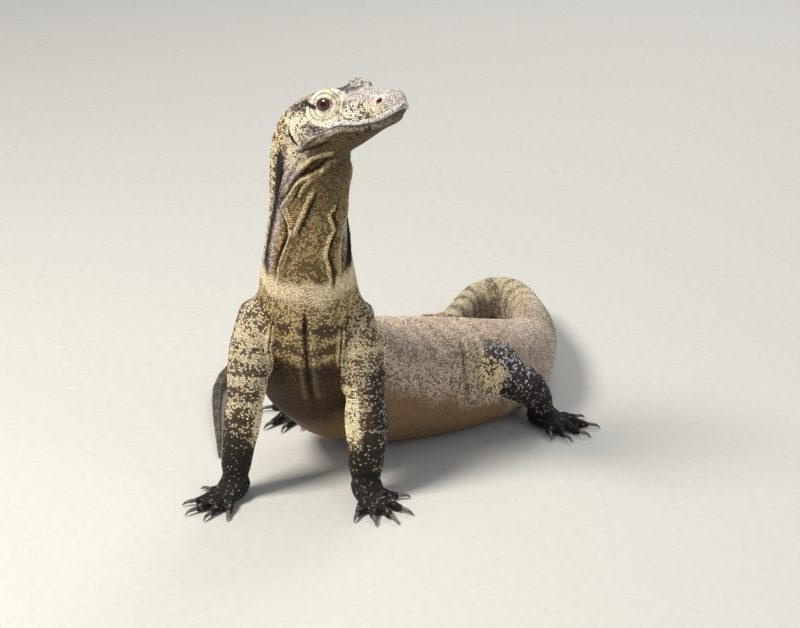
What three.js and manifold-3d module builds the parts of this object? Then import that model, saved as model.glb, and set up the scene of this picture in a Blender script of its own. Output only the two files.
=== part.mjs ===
// Komodo dragon: a young animal resting on its belly with the chest raised on straight forelegs.
// Millimetres, +Z up. The chest faces -Y, and the animal's left side is towards +X.

import * as THREE from 'three';
import { LoftGeometry } from 'three/addons/geometries/LoftGeometry.js';
import { mergeVertices } from 'three/addons/utils/BufferGeometryUtils.js';
import Module from 'manifold-3d';

const wasm = await Module();
wasm.setup();

// Driving dimensions
const GAP = 0.3;                 // between neighbouring pieces
const HEAD_LENGTH = 78;          // ear to snout tip
const HEAD_YAW = -45;            // degrees from +X, the snout turned towards -Y
const HEAD_PITCH = 22;           // degrees, the snout raised
const HEAD_PLACE = new THREE.Vector3(11, 16, 235);   // between the ears
const EYE_RADIUS = 5.2;
const CLAW_RADIUS = 1.6;

const skins = {
  head: new THREE.MeshStandardMaterial({ color: 0xcfc6a8, roughness: 0.6, metalness: 0 }),
  neck: new THREE.MeshStandardMaterial({ color: 0x9a8b6a, roughness: 0.65, metalness: 0 }),
  trunk: new THREE.MeshStandardMaterial({ color: 0x8a735a, roughness: 0.65, metalness: 0 }),
  tail: new THREE.MeshStandardMaterial({ color: 0xb5a582, roughness: 0.65, metalness: 0 }),
  limb: new THREE.MeshStandardMaterial({ color: 0x3b352c, roughness: 0.6, metalness: 0 }),
  eye: new THREE.MeshStandardMaterial({ color: 0x5a2a1c, roughness: 0.15, metalness: 0 }),
  claw: new THREE.MeshStandardMaterial({ color: 0x8b867c, roughness: 0.4, metalness: 0 }),
};

const model = new THREE.Group();

// Turns a closed three.js geometry into a solid that can be joined and cut
function solid(geometry) {
  const bare = new THREE.BufferGeometry().copy(geometry);
  bare.deleteAttribute('normal');
  bare.deleteAttribute('uv');
  const merged = mergeVertices(bare, 1e-4);
  const corners = merged.index.array;
  const triangles = [];
  for (let i = 0; i < corners.length; i += 3) {
    const [a, b, c] = corners.slice(i, i + 3);
    if (a !== b && b !== c && c !== a) triangles.push(a, b, c);
  }
  return new wasm.Manifold(new wasm.Mesh({
    numProp: 3,
    vertProperties: Float32Array.from(merged.attributes.position.array),
    triVerts: Uint32Array.from(triangles),
  }));
}

function ellipsoid(centre, radii, turn) {
  const ball = new THREE.SphereGeometry(1, 12, 8);
  ball.applyMatrix4(new THREE.Matrix4().compose(centre, turn, radii));
  return solid(ball);
}

const floorBox = new THREE.BoxGeometry(2000, 2000, 200);
floorBox.translate(0, 0, -100);
const floor = solid(floorBox);

function addNode(name, shape, material) {
  const above = shape.subtract(floor);
  const { vertProperties, triVerts } = above.getMesh();
  const geometry = new THREE.BufferGeometry();
  geometry.setAttribute('position', new THREE.Float32BufferAttribute(vertProperties, 3));
  geometry.setIndex([...triVerts]);
  geometry.computeVertexNormals();
  const mesh = new THREE.Mesh(geometry, material);
  mesh.name = name;
  model.add(mesh);
}

// A long form: stations along a smooth line, each with its half width, its height above the line
// towards the back and its depth below it. Places between stations follow smooth curves.
class Form {
  constructor(stations, squareness = 1) {
    this.squareness = squareness;
    this.steps = stations.length - 1;
    const line = (pick) => new THREE.CatmullRomCurve3(stations.map(pick), false, 'catmullrom', 0.5);
    this.path = line((s) => new THREE.Vector3(...s.at));
    this.back = line((s) => new THREE.Vector3(...s.back));
    this.size = line((s) => new THREE.Vector3(...s.size));
  }

  section(station, grow, around) {
    const t = THREE.MathUtils.clamp(station / this.steps, 0, 1);
    const centre = this.path.getPoint(t);
    const along = this.path.getTangent(t);
    const back = this.back.getPoint(t).projectOnPlane(along).normalize();
    const side = new THREE.Vector3().crossVectors(back, along);
    const size = this.size.getPoint(t);
    const ring = [];
    for (let i = 0; i < around; i += 1) {
      const angle = (2 * Math.PI * i) / around;
      const [c, s] = [Math.cos(angle), Math.sin(angle)];
      const height = (s > 0 ? size.y : size.z) + grow;
      const x = Math.sign(c) * Math.abs(c) ** this.squareness * (size.x + grow);
      const y = Math.sign(s) * Math.abs(s) ** this.squareness * height;
      ring.push(centre.clone().addScaledVector(side, x).addScaledVector(back, y));
    }
    return ring;
  }

  // The station that lies a few millimetres further along than the one given
  shifted(station, distance) {
    const step = 0.02;
    const here = this.path.getPoint(THREE.MathUtils.clamp((station - step) / this.steps, 0, 1));
    const there = this.path.getPoint(THREE.MathUtils.clamp((station + step) / this.steps, 0, 1));
    return station + (distance * 2 * step) / here.distanceTo(there);
  }

  solid(from, to, { grow = 0, around, rings }) {
    const start = from > 0 ? this.shifted(from, GAP / 2) : from;
    const end = to < this.steps ? this.shifted(to, -GAP / 2) : to;
    const count = Math.max(2, Math.round((to - from) * rings));
    const sections = [];
    for (let i = 0; i <= count; i += 1) {
      sections.push(this.section(start + ((end - start) * i) / count, grow, around));
    }
    return solid(new LoftGeometry(sections, { capStart: true, capEnd: true }));
  }
}

// The head's own frame: x to the snout, y to the animal's left, z up, with 0 on the mouth line
const headTurn = new THREE.Quaternion().setFromEuler(new THREE.Euler(
  0,
  THREE.MathUtils.degToRad(-HEAD_PITCH),
  THREE.MathUtils.degToRad(HEAD_YAW),
  'ZYX',
));
const headPoint = (x, y, z) => new THREE.Vector3(x, y, z).applyQuaternion(headTurn).add(HEAD_PLACE);
const headUp = new THREE.Vector3(0, 0, 1).applyQuaternion(headTurn);
const headStation = (part, z, size) => ({
  at: headPoint(part * HEAD_LENGTH, 0, z).toArray(),
  back: headUp.toArray(),
  size,
});

// The whole body from the snout to the tail tip. size is [half width, above, below]
const body = new Form([
  headStation(1.005, 2.5, [1.6, 2.0, 1.6]),
  headStation(0.985, 2.6, [4.6, 5.6, 4.6]),
  headStation(0.94, 2.4, [7.4, 8.8, 7.2]),
  headStation(0.85, 2.4, [9.8, 10.6, 9.4]),
  headStation(0.70, 3.0, [12.0, 12.8, 11.8]),
  headStation(0.54, 3.2, [14.8, 15.6, 14.8]),
  headStation(0.38, 3.2, [18.2, 19.2, 17.6]),
  headStation(0.22, 3.0, [21.2, 20.6, 19.6]),
  headStation(0.08, 2.0, [22.6, 21.4, 21.4]),
  headStation(-0.055, -1.6, [22.4, 23.4, 23.4]),
  { at: [5.0, 22.0, 219.4], back: [-0.62, 0.62, 0.5], size: [22.6, 24.2, 27.4] },
  { at: [3.4, 23.2, 203.4], back: [-0.52, 0.75, 0.2], size: [22.8, 22.4, 27.8] },
  { at: [3.4, 21.5, 185], back: [-0.3, 0.95, 0.1], size: [23.0, 22.6, 25.0] },
  { at: [3.0, 23, 164], back: [-0.1, 0.97, 0.2], size: [26.0, 23.0, 26.5] },
  { at: [2.6, 28, 141], back: [0, 0.93, 0.37], size: [29.5, 24.0, 30.0] },
  { at: [3.2, 36, 117], back: [0.04, 0.85, 0.5], size: [33.0, 26.0, 37.0] },
  { at: [7, 52, 90], back: [0.15, 0.6, 0.78], size: [39.0, 29.0, 46.0] },
  { at: [19, 76, 63], back: [0.2, 0.35, 0.92], size: [47.0, 33.0, 50.0] },
  { at: [50, 102, 47], back: [0.1, 0.12, 0.98], size: [49.5, 33.0, 47.5] },
  { at: [84, 120, 41], back: [0, 0, 1], size: [48.0, 31.0, 42.5] },
  { at: [112, 135, 37.5], back: [0, 0, 1], size: [41.0, 29.0, 39.0] },
  { at: [132, 154, 34], back: [0, 0, 1], size: [32.0, 26.0, 35.5] },
  { at: [145, 180, 29], back: [0, 0, 1], size: [23.0, 22.0, 30.5] },
  { at: [152, 210, 25.5], back: [0, 0, 1], size: [17.5, 20.0, 26.5] },
  { at: [153, 240, 23.0], back: [0, 0, 1], size: [14.5, 18.6, 24.0] },
  { at: [150, 268, 21.3], back: [0, 0, 1], size: [12.8, 17.6, 22.3] },
  { at: [145, 295, 20], back: [0, 0, 1], size: [11.8, 17.0, 21.0] },
  { at: [133, 310.7, 18.8], back: [0, 0, 1], size: [11.0, 16.2, 19.8] },
  { at: [117, 310, 17], back: [0, 0, 1], size: [10.4, 14.2, 18.0] },
  { at: [106, 291, 15.4], back: [0, 0, 1], size: [10.0, 12.8, 16.4] },
  { at: [96, 268, 14], back: [0, 0, 1], size: [9.4, 11.6, 15.0] },
  { at: [75, 250, 12.8], back: [0, 0, 1], size: [8.8, 10.6, 13.8] },
  { at: [46, 242, 11.4], back: [0, 0, 1], size: [8.0, 9.4, 12.2] },
  { at: [17, 240, 10], back: [0, 0, 1], size: [7.2, 8.2, 10.7] },
  { at: [-12, 235, 8.6], back: [0, 0, 1], size: [6.4, 7.0, 9.2] },
  { at: [-40, 224, 7.4], back: [0, 0, 1], size: [5.6, 6.0, 7.9] },
  { at: [-58, 200, 6.4], back: [0, 0, 1], size: [4.9, 5.2, 6.8] },
  { at: [-65, 170, 5.4], back: [0, 0, 1], size: [4.2, 4.5, 5.8] },
  { at: [-64.5, 141, 4.6], back: [0, 0, 1], size: [3.5, 3.8, 5.0] },
  { at: [-62, 111, 3.8], back: [0, 0, 1], size: [2.8, 3.1, 4.2] },
  { at: [-59.5, 85, 2.9], back: [0, 0, 1], size: [2.0, 2.4, 3.3] },
  { at: [-57.5, 61, 1.9], back: [0, 0, 1], size: [0.9, 1.3, 1.8] },
], 0.9);
const NECK_START = 8.4;
const CHEST_START = 13.6;
const BELLY_START = 16.5;
const PELVIS_START = 19.5;
const TAIL_START = 21.6;
const TAIL_END = 41;
const TAIL_LENGTHS = 6;

// Head: the form cut along the mouth line, with brow ridges, eyes and a lower jaw
const MOUTH_CORNER = 0.15;       // of the head's length, in front of the ear
const mouthBlock = (slit) => {
  const back = MOUTH_CORNER * HEAD_LENGTH - slit;
  const outline = new THREE.Shape();
  outline.moveTo(HEAD_LENGTH * 1.2, slit);
  outline.lineTo(HEAD_LENGTH * 0.95, slit);
  outline.quadraticCurveTo(HEAD_LENGTH * 0.65, slit - 4.6, HEAD_LENGTH * 0.4, slit);
  outline.lineTo(back, slit);
  outline.lineTo(back - 3, -12);
  outline.lineTo(back + 6, -40);
  outline.lineTo(HEAD_LENGTH * 1.2, -40);
  const block = new THREE.ExtrudeGeometry(outline, { depth: 80, bevelEnabled: false, curveSegments: 8 });
  block.rotateX(Math.PI / 2);
  block.translate(0, 40, 0);
  block.applyQuaternion(headTurn);
  block.translate(...HEAD_PLACE.toArray());
  return solid(block);
};

const EYE_PLACE = { x: 27.5, y: 12.4, z: 14.6 };
const BROW_PLACE = { x: 28.5, y: 11.6, z: 19.2 };
const BROW_SIZE = new THREE.Vector3(13, 5.2, 4.6);
const wholeHead = [1, -1].reduce((head, side) => {
  const ridge = ellipsoid(
    headPoint(BROW_PLACE.x, side * BROW_PLACE.y, BROW_PLACE.z),
    BROW_SIZE,
    headTurn,
  );
  const socket = ellipsoid(
    headPoint(EYE_PLACE.x, side * EYE_PLACE.y, EYE_PLACE.z),
    new THREE.Vector3().setScalar(EYE_RADIUS + GAP),
    headTurn,
  );
  return head.add(ridge).subtract(socket);
}, body.solid(0, NECK_START, { around: 20, rings: 1.25 }));

addNode('head', wholeHead.subtract(mouthBlock(GAP / 2)), skins.head);
addNode('lower_jaw', wholeHead.intersect(mouthBlock(-GAP / 2)), skins.head);
for (const [letter, side] of [['l', 1], ['r', -1]]) {
  const eye = ellipsoid(
    headPoint(EYE_PLACE.x, side * EYE_PLACE.y, EYE_PLACE.z),
    new THREE.Vector3().setScalar(EYE_RADIUS),
    headTurn,
  );
  addNode(`eye_${letter}`, eye, skins.eye);
}

// Neck, trunk and tail: lengths of the body form with thin cuts between them. The limbs are cut
// clear of the room that these lengths take.
let bodyRoom = body.solid(CHEST_START - 1.5, TAIL_START + 1.5, { grow: GAP, around: 22, rings: 1.8 });
function addLengths(names, from, to, material, options) {
  names.forEach((name, i) => {
    const start = from + ((to - from) * i) / names.length;
    const end = from + ((to - from) * (i + 1)) / names.length;
    addNode(name, body.solid(start, end, options), material);
    bodyRoom = bodyRoom.add(body.solid(start, end, { ...options, grow: GAP }));
  });
}

addLengths(['neck_upper', 'neck_lower'], NECK_START, CHEST_START, skins.neck, { around: 18, rings: 1.4 });
addLengths(['chest'], CHEST_START, BELLY_START, skins.trunk, { around: 22, rings: 1.8 });
addLengths(['belly'], BELLY_START, PELVIS_START, skins.trunk, { around: 22, rings: 1.8 });
addLengths(['pelvis'], PELVIS_START, TAIL_START, skins.trunk, { around: 22, rings: 1.8 });
const tailNames = Array.from({ length: TAIL_LENGTHS }, (_, i) => `tail_${i + 1}`);
addLengths(tailNames, TAIL_START, TAIL_END, skins.tail, { around: 12, rings: 1.4 });

// A piece of limb, and the room it takes with a gap all round
function limbPiece(stations, around) {
  const form = new Form(stations, 0.95);
  return {
    shape: form.solid(0, form.steps, { around, rings: 1 }),
    room: form.solid(0, form.steps, { around, rings: 1, grow: GAP }),
  };
}

const toeStation = (at, radius, shape) => ({
  at: at.toArray(),
  back: [0, 0, 1],
  size: shape.map((part) => part * radius),
});
const clawStation = (at, part) => toeStation(at, CLAW_RADIUS, [part, part, part]);

// A toe reaches out from the sole, arches over its knuckle and ends in a curved claw
function makeToe(sole, toe) {
  const heading = THREE.MathUtils.degToRad(toe.heading);
  const out = new THREE.Vector3(Math.sin(heading), -Math.cos(heading), 0);
  const place = (distance, height) => sole.clone().addScaledVector(out, distance).setZ(height);
  const r = toe.radius;
  const flesh = new Form([
    toeStation(place(2, r * 1.6), r, [1.3, 1.3, 1.6]),
    toeStation(place(toe.reach * 0.4, r * 1.9), r, [1.1, 1.15, 1.55]),
    toeStation(place(toe.reach * 0.62, r * 1.8), r, [1.06, 1.15, 1.5]),
    toeStation(place(toe.reach * 0.84, r * 1.1), r, [0.95, 1, 1.2]),
    toeStation(place(toe.reach, r), r, [0.7, 0.78, 0.85]),
  ]);
  const claw = new Form([
    clawStation(place(toe.reach + GAP, r), 1),
    clawStation(place(toe.reach + toe.claw * 0.48, r * 1.12), 0.8),
    clawStation(place(toe.reach + toe.claw * 0.82, r * 0.85), 0.5),
    clawStation(place(toe.reach + toe.claw, r * 0.3), 0.16),
  ]);
  return {
    flesh: flesh.solid(0, flesh.steps, { around: 7, rings: 1 }),
    claw: claw.solid(0, claw.steps, { around: 5, rings: 1 }),
  };
}

// A limb: upper piece, lower piece and a flat hand or foot with five clawed toes. Each piece is cut
// clear of the ones before it, and the first is cut clear of the trunk.
function addLimb(limb) {
  let taken = bodyRoom;
  for (const piece of limb.pieces) {
    const { shape, room } = limbPiece(piece.stations, 10);
    addNode(`${piece.name}_${limb.side}`, shape.subtract(taken), skins.limb);
    taken = taken.add(room);
  }
  const sole = new THREE.Vector3(...limb.sole);
  const palm = limbPiece(limb.palm, 10).shape;
  const toes = limb.toes.map((toe) => makeToe(sole, toe));
  const flesh = toes.reduce((joined, toe) => joined.add(toe.flesh), palm);
  addNode(`${limb.end}_${limb.side}`, flesh.subtract(taken), skins.limb);
  toes.forEach((toe, i) => addNode(`${limb.end}_${limb.side}_claw_${i + 1}`, toe.claw, skins.claw));
}

// Right foreleg, straight, with the hand spread outwards
addLimb({
  side: 'r',
  end: 'hand',
  pieces: [
    {
      name: 'upper_arm',
      stations: [
        { at: [-14, 36, 118], back: [0, 1, 0.2], size: [12, 13, 13] },
        { at: [-27, 28, 112], back: [0, 1, 0.2], size: [14.5, 17, 16] },
        { at: [-33, 19, 94], back: [0, 1, 0.1], size: [14.0, 16, 15] },
        { at: [-35, 14, 77], back: [0, 1, 0], size: [13.4, 14.5, 14] },
        { at: [-36, 12, 65], back: [0, 1, 0], size: [12.0, 13, 12.5] },
        { at: [-36.8, 11, 57], back: [0, 1, 0], size: [8, 8.5, 8] },
      ],
    },
    {
      name: 'forearm',
      stations: [
        { at: [-36.2, 11.5, 69], back: [0, 1, 0], size: [10, 10.5, 10.5] },
        { at: [-37.4, 11, 58], back: [0, 1, 0], size: [12.6, 13, 12.4] },
        { at: [-39.2, 9.5, 45], back: [0, 1, 0], size: [11.8, 12, 11.4] },
        { at: [-41.4, 8, 32], back: [0, 1, 0], size: [10.4, 10, 9.8] },
        { at: [-43, 6.5, 21], back: [0, 1, 0], size: [9.8, 9, 8.8] },
        { at: [-43.6, 5.5, 13], back: [0, 1, 0], size: [8, 7.5, 7.5] },
      ],
    },
  ],
  palm: [
    { at: [-41, 16, 8], back: [0, 0, 1], size: [6, 5, 9] },
    { at: [-43, 9, 9], back: [0, 0, 1], size: [9.6, 8.5, 10] },
    { at: [-45.5, 2, 8], back: [0, 0, 1], size: [10, 7.2, 9] },
    { at: [-48, -4, 6.5], back: [0, 0, 1], size: [9, 5.2, 7.5] },
    { at: [-49.5, -8, 5], back: [0, 0, 1], size: [6, 3.2, 5] },
  ],
  sole: [-45, -1, 0],
  toes: [
    { heading: -3, reach: 23, radius: 2.8, claw: 8 },
    { heading: -27, reach: 27, radius: 2.9, claw: 8.5 },
    { heading: -50, reach: 28, radius: 2.9, claw: 8.5 },
    { heading: -74, reach: 24, radius: 2.9, claw: 8 },
    { heading: -126, reach: 18.5, radius: 2.8, claw: 7.5 },
  ],
});

// Left foreleg, straight, with the hand pointing forwards
addLimb({
  side: 'l',
  end: 'hand',
  pieces: [
    {
      name: 'upper_arm',
      stations: [
        { at: [16, 36, 118], back: [0, 1, 0.2], size: [12, 13, 13] },
        { at: [30, 27, 112], back: [0, 1, 0.2], size: [14.5, 17, 16] },
        { at: [35.4, 19, 94], back: [0, 1, 0.1], size: [14.4, 16, 15] },
        { at: [37, 14, 77], back: [0, 1, 0], size: [13.8, 14.5, 14] },
        { at: [37.6, 12, 65], back: [0, 1, 0], size: [12.6, 13, 12.5] },
        { at: [38, 11, 57], back: [0, 1, 0], size: [8, 8.5, 8] },
      ],
    },
    {
      name: 'forearm',
      stations: [
        { at: [37.8, 12, 69], back: [0, 1, 0], size: [11, 10.5, 10.5] },
        { at: [38.2, 11, 58], back: [0, 1, 0], size: [13.6, 13, 12.6] },
        { at: [38.6, 9, 45], back: [0, 1, 0], size: [13.8, 12.2, 12] },
        { at: [38.6, 6.5, 32], back: [0, 1, 0], size: [12.2, 10.4, 10.2] },
        { at: [38, 4.5, 21], back: [0, 1, 0], size: [11.4, 9.4, 9.2] },
        { at: [38, 3, 13], back: [0, 1, 0], size: [9, 7.5, 7.5] },
      ],
    },
  ],
  palm: [
    { at: [37, 14, 8], back: [0, 0, 1], size: [6, 5, 9] },
    { at: [38, 7, 9], back: [0, 0, 1], size: [10, 8.5, 10] },
    { at: [39.2, 0, 8], back: [0, 0, 1], size: [10.5, 7.2, 9] },
    { at: [40.5, -6, 6.5], back: [0, 0, 1], size: [9.4, 5.2, 7.5] },
    { at: [41.5, -10, 5], back: [0, 0, 1], size: [6.2, 3.2, 5] },
  ],
  sole: [39, -3, 0],
  toes: [
    { heading: -14, reach: 24, radius: 2.8, claw: 8 },
    { heading: 9, reach: 28.5, radius: 2.9, claw: 8.5 },
    { heading: 30, reach: 30.5, radius: 2.9, claw: 8.5 },
    { heading: 54, reach: 27, radius: 2.9, claw: 8.5 },
    { heading: 100, reach: 20, radius: 2.8, claw: 7.5 },
  ],
});

// Left hind leg, folded beside the hip with the knee up
addLimb({
  side: 'l',
  end: 'foot',
  pieces: [
    {
      name: 'thigh',
      stations: [
        { at: [131, 148, 35], back: [0, 0, 1], size: [18, 19, 20] },
        { at: [126, 130, 40], back: [0, 0, 1], size: [19, 18.5, 19] },
        { at: [121, 111, 45], back: [0, 0, 1], size: [18, 17, 19] },
        { at: [118.5, 95, 47.5], back: [0, 0, 1], size: [15, 15, 16.5] },
        { at: [118, 84.5, 47.5], back: [0, 0, 1], size: [8, 8.5, 9] },
      ],
    },
    {
      name: 'shin',
      stations: [
        { at: [120, 94, 47], back: [0, 0, 1], size: [10, 10, 10] },
        { at: [133, 100, 41], back: [0, 0, 1], size: [13, 13, 13] },
        { at: [145, 109, 31], back: [0, 0, 1], size: [12, 12, 12] },
        { at: [152, 115, 20], back: [0, 0, 1], size: [9.6, 9.4, 9.4] },
        { at: [155, 118, 12], back: [0, 0, 1], size: [7.5, 7, 7] },
      ],
    },
  ],
  palm: [
    { at: [147, 124, 8], back: [0, 0, 1], size: [6, 5, 9] },
    { at: [152, 120, 9], back: [0, 0, 1], size: [9.2, 8, 10] },
    { at: [157, 115.5, 7.5], back: [0, 0, 1], size: [9.8, 7, 8.5] },
    { at: [162, 111, 6.2], back: [0, 0, 1], size: [9, 5.2, 7] },
    { at: [165.5, 108, 5], back: [0, 0, 1], size: [6, 3.2, 5] },
  ],
  sole: [157, 115, 0],
  toes: [
    { heading: 5, reach: 18.5, radius: 2.8, claw: 7.5 },
    { heading: 29, reach: 24, radius: 2.9, claw: 8 },
    { heading: 54, reach: 27, radius: 3.0, claw: 8 },
    { heading: 82, reach: 28, radius: 3.0, claw: 8 },
    { heading: 116, reach: 22, radius: 2.9, claw: 7.5 },
  ],
});

// Right hind leg, laid forwards along the far flank
addLimb({
  side: 'r',
  end: 'foot',
  pieces: [
    {
      name: 'thigh',
      stations: [
        { at: [123, 162, 33], back: [0, 0, 1], size: [18, 19, 20] },
        { at: [106, 175, 36], back: [0, 0, 1], size: [17, 17.5, 18] },
        { at: [89, 183, 38], back: [0, 0, 1], size: [15.5, 16.5, 17] },
        { at: [73, 187, 38], back: [0, 0, 1], size: [13, 14, 14.5] },
        { at: [64, 188, 37], back: [0, 0, 1], size: [7, 8, 8.5] },
      ],
    },
    {
      name: 'shin',
      stations: [
        { at: [70, 188, 37], back: [0, 0, 1], size: [10, 10, 10] },
        { at: [55, 184, 31], back: [0, 0, 1], size: [12.5, 12.5, 12.5] },
        { at: [38, 177, 23], back: [0, 0, 1], size: [11.5, 11, 11] },
        { at: [20, 168, 16], back: [0, 0, 1], size: [9.2, 9, 9] },
        { at: [10, 162, 12], back: [0, 0, 1], size: [7.5, 7, 7] },
      ],
    },
  ],
  palm: [
    { at: [13, 167, 8], back: [0, 0, 1], size: [6, 5, 9] },
    { at: [7, 160, 9], back: [0, 0, 1], size: [9.4, 8, 10] },
    { at: [-1.5, 147.5, 7.5], back: [0, 0, 1], size: [10, 7, 8.5] },
    { at: [-7, 139, 6.2], back: [0, 0, 1], size: [9.4, 5.2, 7] },
    { at: [-9.5, 134.8, 5], back: [0, 0, 1], size: [6, 3.2, 5] },
  ],
  sole: [-3, 145, 0],
  toes: [
    { heading: 14, reach: 22, radius: 2.8, claw: 8 },
    { heading: -4, reach: 31, radius: 2.9, claw: 8.5 },
    { heading: -21, reach: 37, radius: 3.0, claw: 8.5 },
    { heading: -37, reach: 38.5, radius: 3.0, claw: 8.5 },
    { heading: -80, reach: 25, radius: 2.9, claw: 8 },
  ],
});

// The origin is the middle of the bounding box, on the floor
const box = new THREE.Box3().setFromObject(model);
const middle = box.getCenter(new THREE.Vector3()).setZ(box.min.z);
for (const mesh of model.children) mesh.geometry.translate(-middle.x, -middle.y, -middle.z);

export default model;
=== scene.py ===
import heapq
from math import pi

import bpy
import numpy as np
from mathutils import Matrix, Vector
from mathutils.bvhtree import BVHTree
from mathutils.kdtree import KDTree


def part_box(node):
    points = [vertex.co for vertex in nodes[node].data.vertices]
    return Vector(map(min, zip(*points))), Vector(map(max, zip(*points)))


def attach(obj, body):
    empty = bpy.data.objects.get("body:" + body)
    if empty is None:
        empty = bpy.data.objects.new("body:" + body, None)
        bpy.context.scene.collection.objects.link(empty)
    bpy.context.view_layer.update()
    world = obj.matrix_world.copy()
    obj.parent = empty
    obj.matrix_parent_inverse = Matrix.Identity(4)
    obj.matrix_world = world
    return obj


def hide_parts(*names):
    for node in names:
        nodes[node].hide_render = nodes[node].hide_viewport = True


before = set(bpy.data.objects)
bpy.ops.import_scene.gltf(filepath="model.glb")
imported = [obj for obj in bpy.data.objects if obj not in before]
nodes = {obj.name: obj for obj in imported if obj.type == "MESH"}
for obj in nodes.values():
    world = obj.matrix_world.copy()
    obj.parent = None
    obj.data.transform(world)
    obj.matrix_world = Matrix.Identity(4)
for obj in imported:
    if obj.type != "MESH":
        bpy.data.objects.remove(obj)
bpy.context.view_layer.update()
bpy.ops.object.select_all(action="DESELECT")

# ---------------------------------------------------------------------------------------------
# Skin. The hide of a monitor is one loose sheet over head, neck, trunk, tail and limbs. It is
# cast over the solid lengths so that their thin cuts close, smoothed to each part's roundness,
# and drawn in by the depth of the scales that lie on it.
# ---------------------------------------------------------------------------------------------
MM = 0.001
SKIN_GRAIN = 1.25 * MM
CUT_CLOSING = 0.3 * MM
SCALE_DEPTH = 0.4 * MM
# How far the smoothing reaches along the hide of each part
ROUNDING = {
    "head": 1.3, "lower_jaw": 1.3, "eye": 0.8, "neck": 4.5, "chest": 6.0, "belly": 6.0, "pelvis": 5.5,
    "tail_1": 4.2, "tail_2": 3.0, "tail_3": 2.5, "tail_4": 2.0, "tail_5": 1.6, "tail_6": 1.0,
    "upper_arm": 3.0, "forearm": 2.4, "thigh": 3.4, "shin": 2.4, "hand": 0.9, "foot": 0.9,
}

claw_names = sorted(name for name in nodes if "claw" in name)
eye_names = ["eye_l", "eye_r"]
flesh_names = sorted(set(nodes) - set(claw_names) - set(eye_names))


def places_of(mesh):
    places = np.empty(len(mesh.vertices) * 3)
    mesh.vertices.foreach_get("co", places)
    return places.reshape(-1, 3)


def set_places(piece, places):
    piece.data.vertices.foreach_set("co", places.astype(np.float32).ravel())
    piece.data.update()


def outward(piece):
    normals = np.empty(len(piece.data.vertices) * 3, np.float32)
    piece.data.vertex_normals.foreach_get("vector", normals)
    return normals.reshape(-1, 3).astype(float)


def edges_of(piece):
    edges = np.empty(len(piece.data.edges) * 2, int)
    piece.data.edges.foreach_get("vertices", edges)
    return edges.reshape(-1, 2)


def triangles_of(mesh):
    mesh.calc_loop_triangles()
    corners = np.empty(len(mesh.loop_triangles) * 3, int)
    mesh.loop_triangles.foreach_get("vertices", corners)
    return corners.reshape(-1, 3)


def relaxed(values, edges, share, rounds):
    """Each point's values drawn towards the mean of its neighbours'."""
    a, b = edges.T
    size = len(values)
    neighbours = np.maximum(np.bincount(edges.ravel(), minlength=size), 1)[:, None]
    share = np.broadcast_to(share, size)[:, None]
    for _ in range(rounds):
        total = np.stack([
            np.bincount(a, column[b], size) + np.bincount(b, column[a], size) for column in values.T
        ], axis=1)
        values = values + share * (total / neighbours - values)
    return values


def new_piece(name, data):
    piece = bpy.data.objects.new(name, data)
    bpy.context.collection.objects.link(piece)
    return piece


def make_active(piece):
    bpy.ops.object.select_all(action="DESELECT")
    piece.select_set(True)
    bpy.context.view_layer.objects.active = piece


def change_mesh(piece, change, **settings):
    """Makes one change to all of a piece's mesh."""
    make_active(piece)
    bpy.ops.object.mode_set(mode="EDIT")
    bpy.ops.mesh.select_all(action="SELECT")
    change(**settings)
    bpy.ops.object.mode_set(mode="OBJECT")


def finish_modifier(piece, kind, **settings):
    make_active(piece)
    bpy.ops.object.modifier_add(type=kind)
    modifier = piece.modifiers[-1]
    for name, value in settings.items():
        setattr(modifier, name, value)
    bpy.ops.object.modifier_apply(modifier=modifier.name)


def cast_of(names, title):
    """A joined copy of some of the solid lengths, with its doubles merged."""
    bpy.ops.object.select_all(action="DESELECT")
    for name in names:
        length = new_piece(f"{name}.cast", nodes[name].data.copy())
        length.data.materials.clear()
        length.select_set(True)
        bpy.context.view_layer.objects.active = length
    bpy.ops.object.join()
    joined = bpy.context.object
    joined.name = title
    change_mesh(joined, bpy.ops.mesh.remove_doubles, threshold=1e-6)
    return joined


def tree_of(names):
    """A search tree over the outsides of some solid lengths, and which length owns each face."""
    places, corners, owners, count = [], [], [], 0
    for number, name in enumerate(names):
        mesh = nodes[name].data
        triangles = triangles_of(mesh)
        places.append(places_of(mesh))
        corners.append(triangles + count)
        owners.append(np.full(len(triangles), number))
        count += len(mesh.vertices)
    faces = np.concatenate(corners).tolist()
    return BVHTree.FromPolygons(np.concatenate(places).tolist(), faces), np.concatenate(owners)


body_names = flesh_names + eye_names
body_tree, face_owner = tree_of(body_names)


def nearest_length(places):
    """The number of the length nearest to each place, and how far outside of it the place is."""
    owner = np.empty(len(places), int)
    height = np.empty(len(places))
    for i, place in enumerate(places):
        spot, normal, face, distance = body_tree.find_nearest(place)
        owner[i] = face_owner[face]
        height[i] = distance if (Vector(place) - spot).dot(normal) > 0 else -distance
    return owner, height


def by_length(table):
    """The table's value for each solid length, found by the start of its name."""
    return np.array([
        next(value for part, value in table.items() if name.startswith(part)) for name in body_names
    ])


def of_parts(owner, parts):
    """Which of the owners, given as numbers of solid lengths, are among some parts of the body."""
    return np.array([name.startswith(tuple(parts)) for name in body_names])[owner]


skin = cast_of(body_names, "skin")
finish_modifier(skin, "DISPLACE", strength=CUT_CLOSING, mid_level=0.0)
finish_modifier(skin, "REMESH", mode="VOXEL", voxel_size=SKIN_GRAIN)
skin_edges = edges_of(skin)
skin_places = places_of(skin.data)
owner, _ = nearest_length(skin_places)
reach_of_length = by_length(ROUNDING) * MM
LONGEST_REACH = reach_of_length.max()
SHARE_ROUNDS, HEIGHT_ROUNDS = 30, 60
HALF = 0.5
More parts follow.
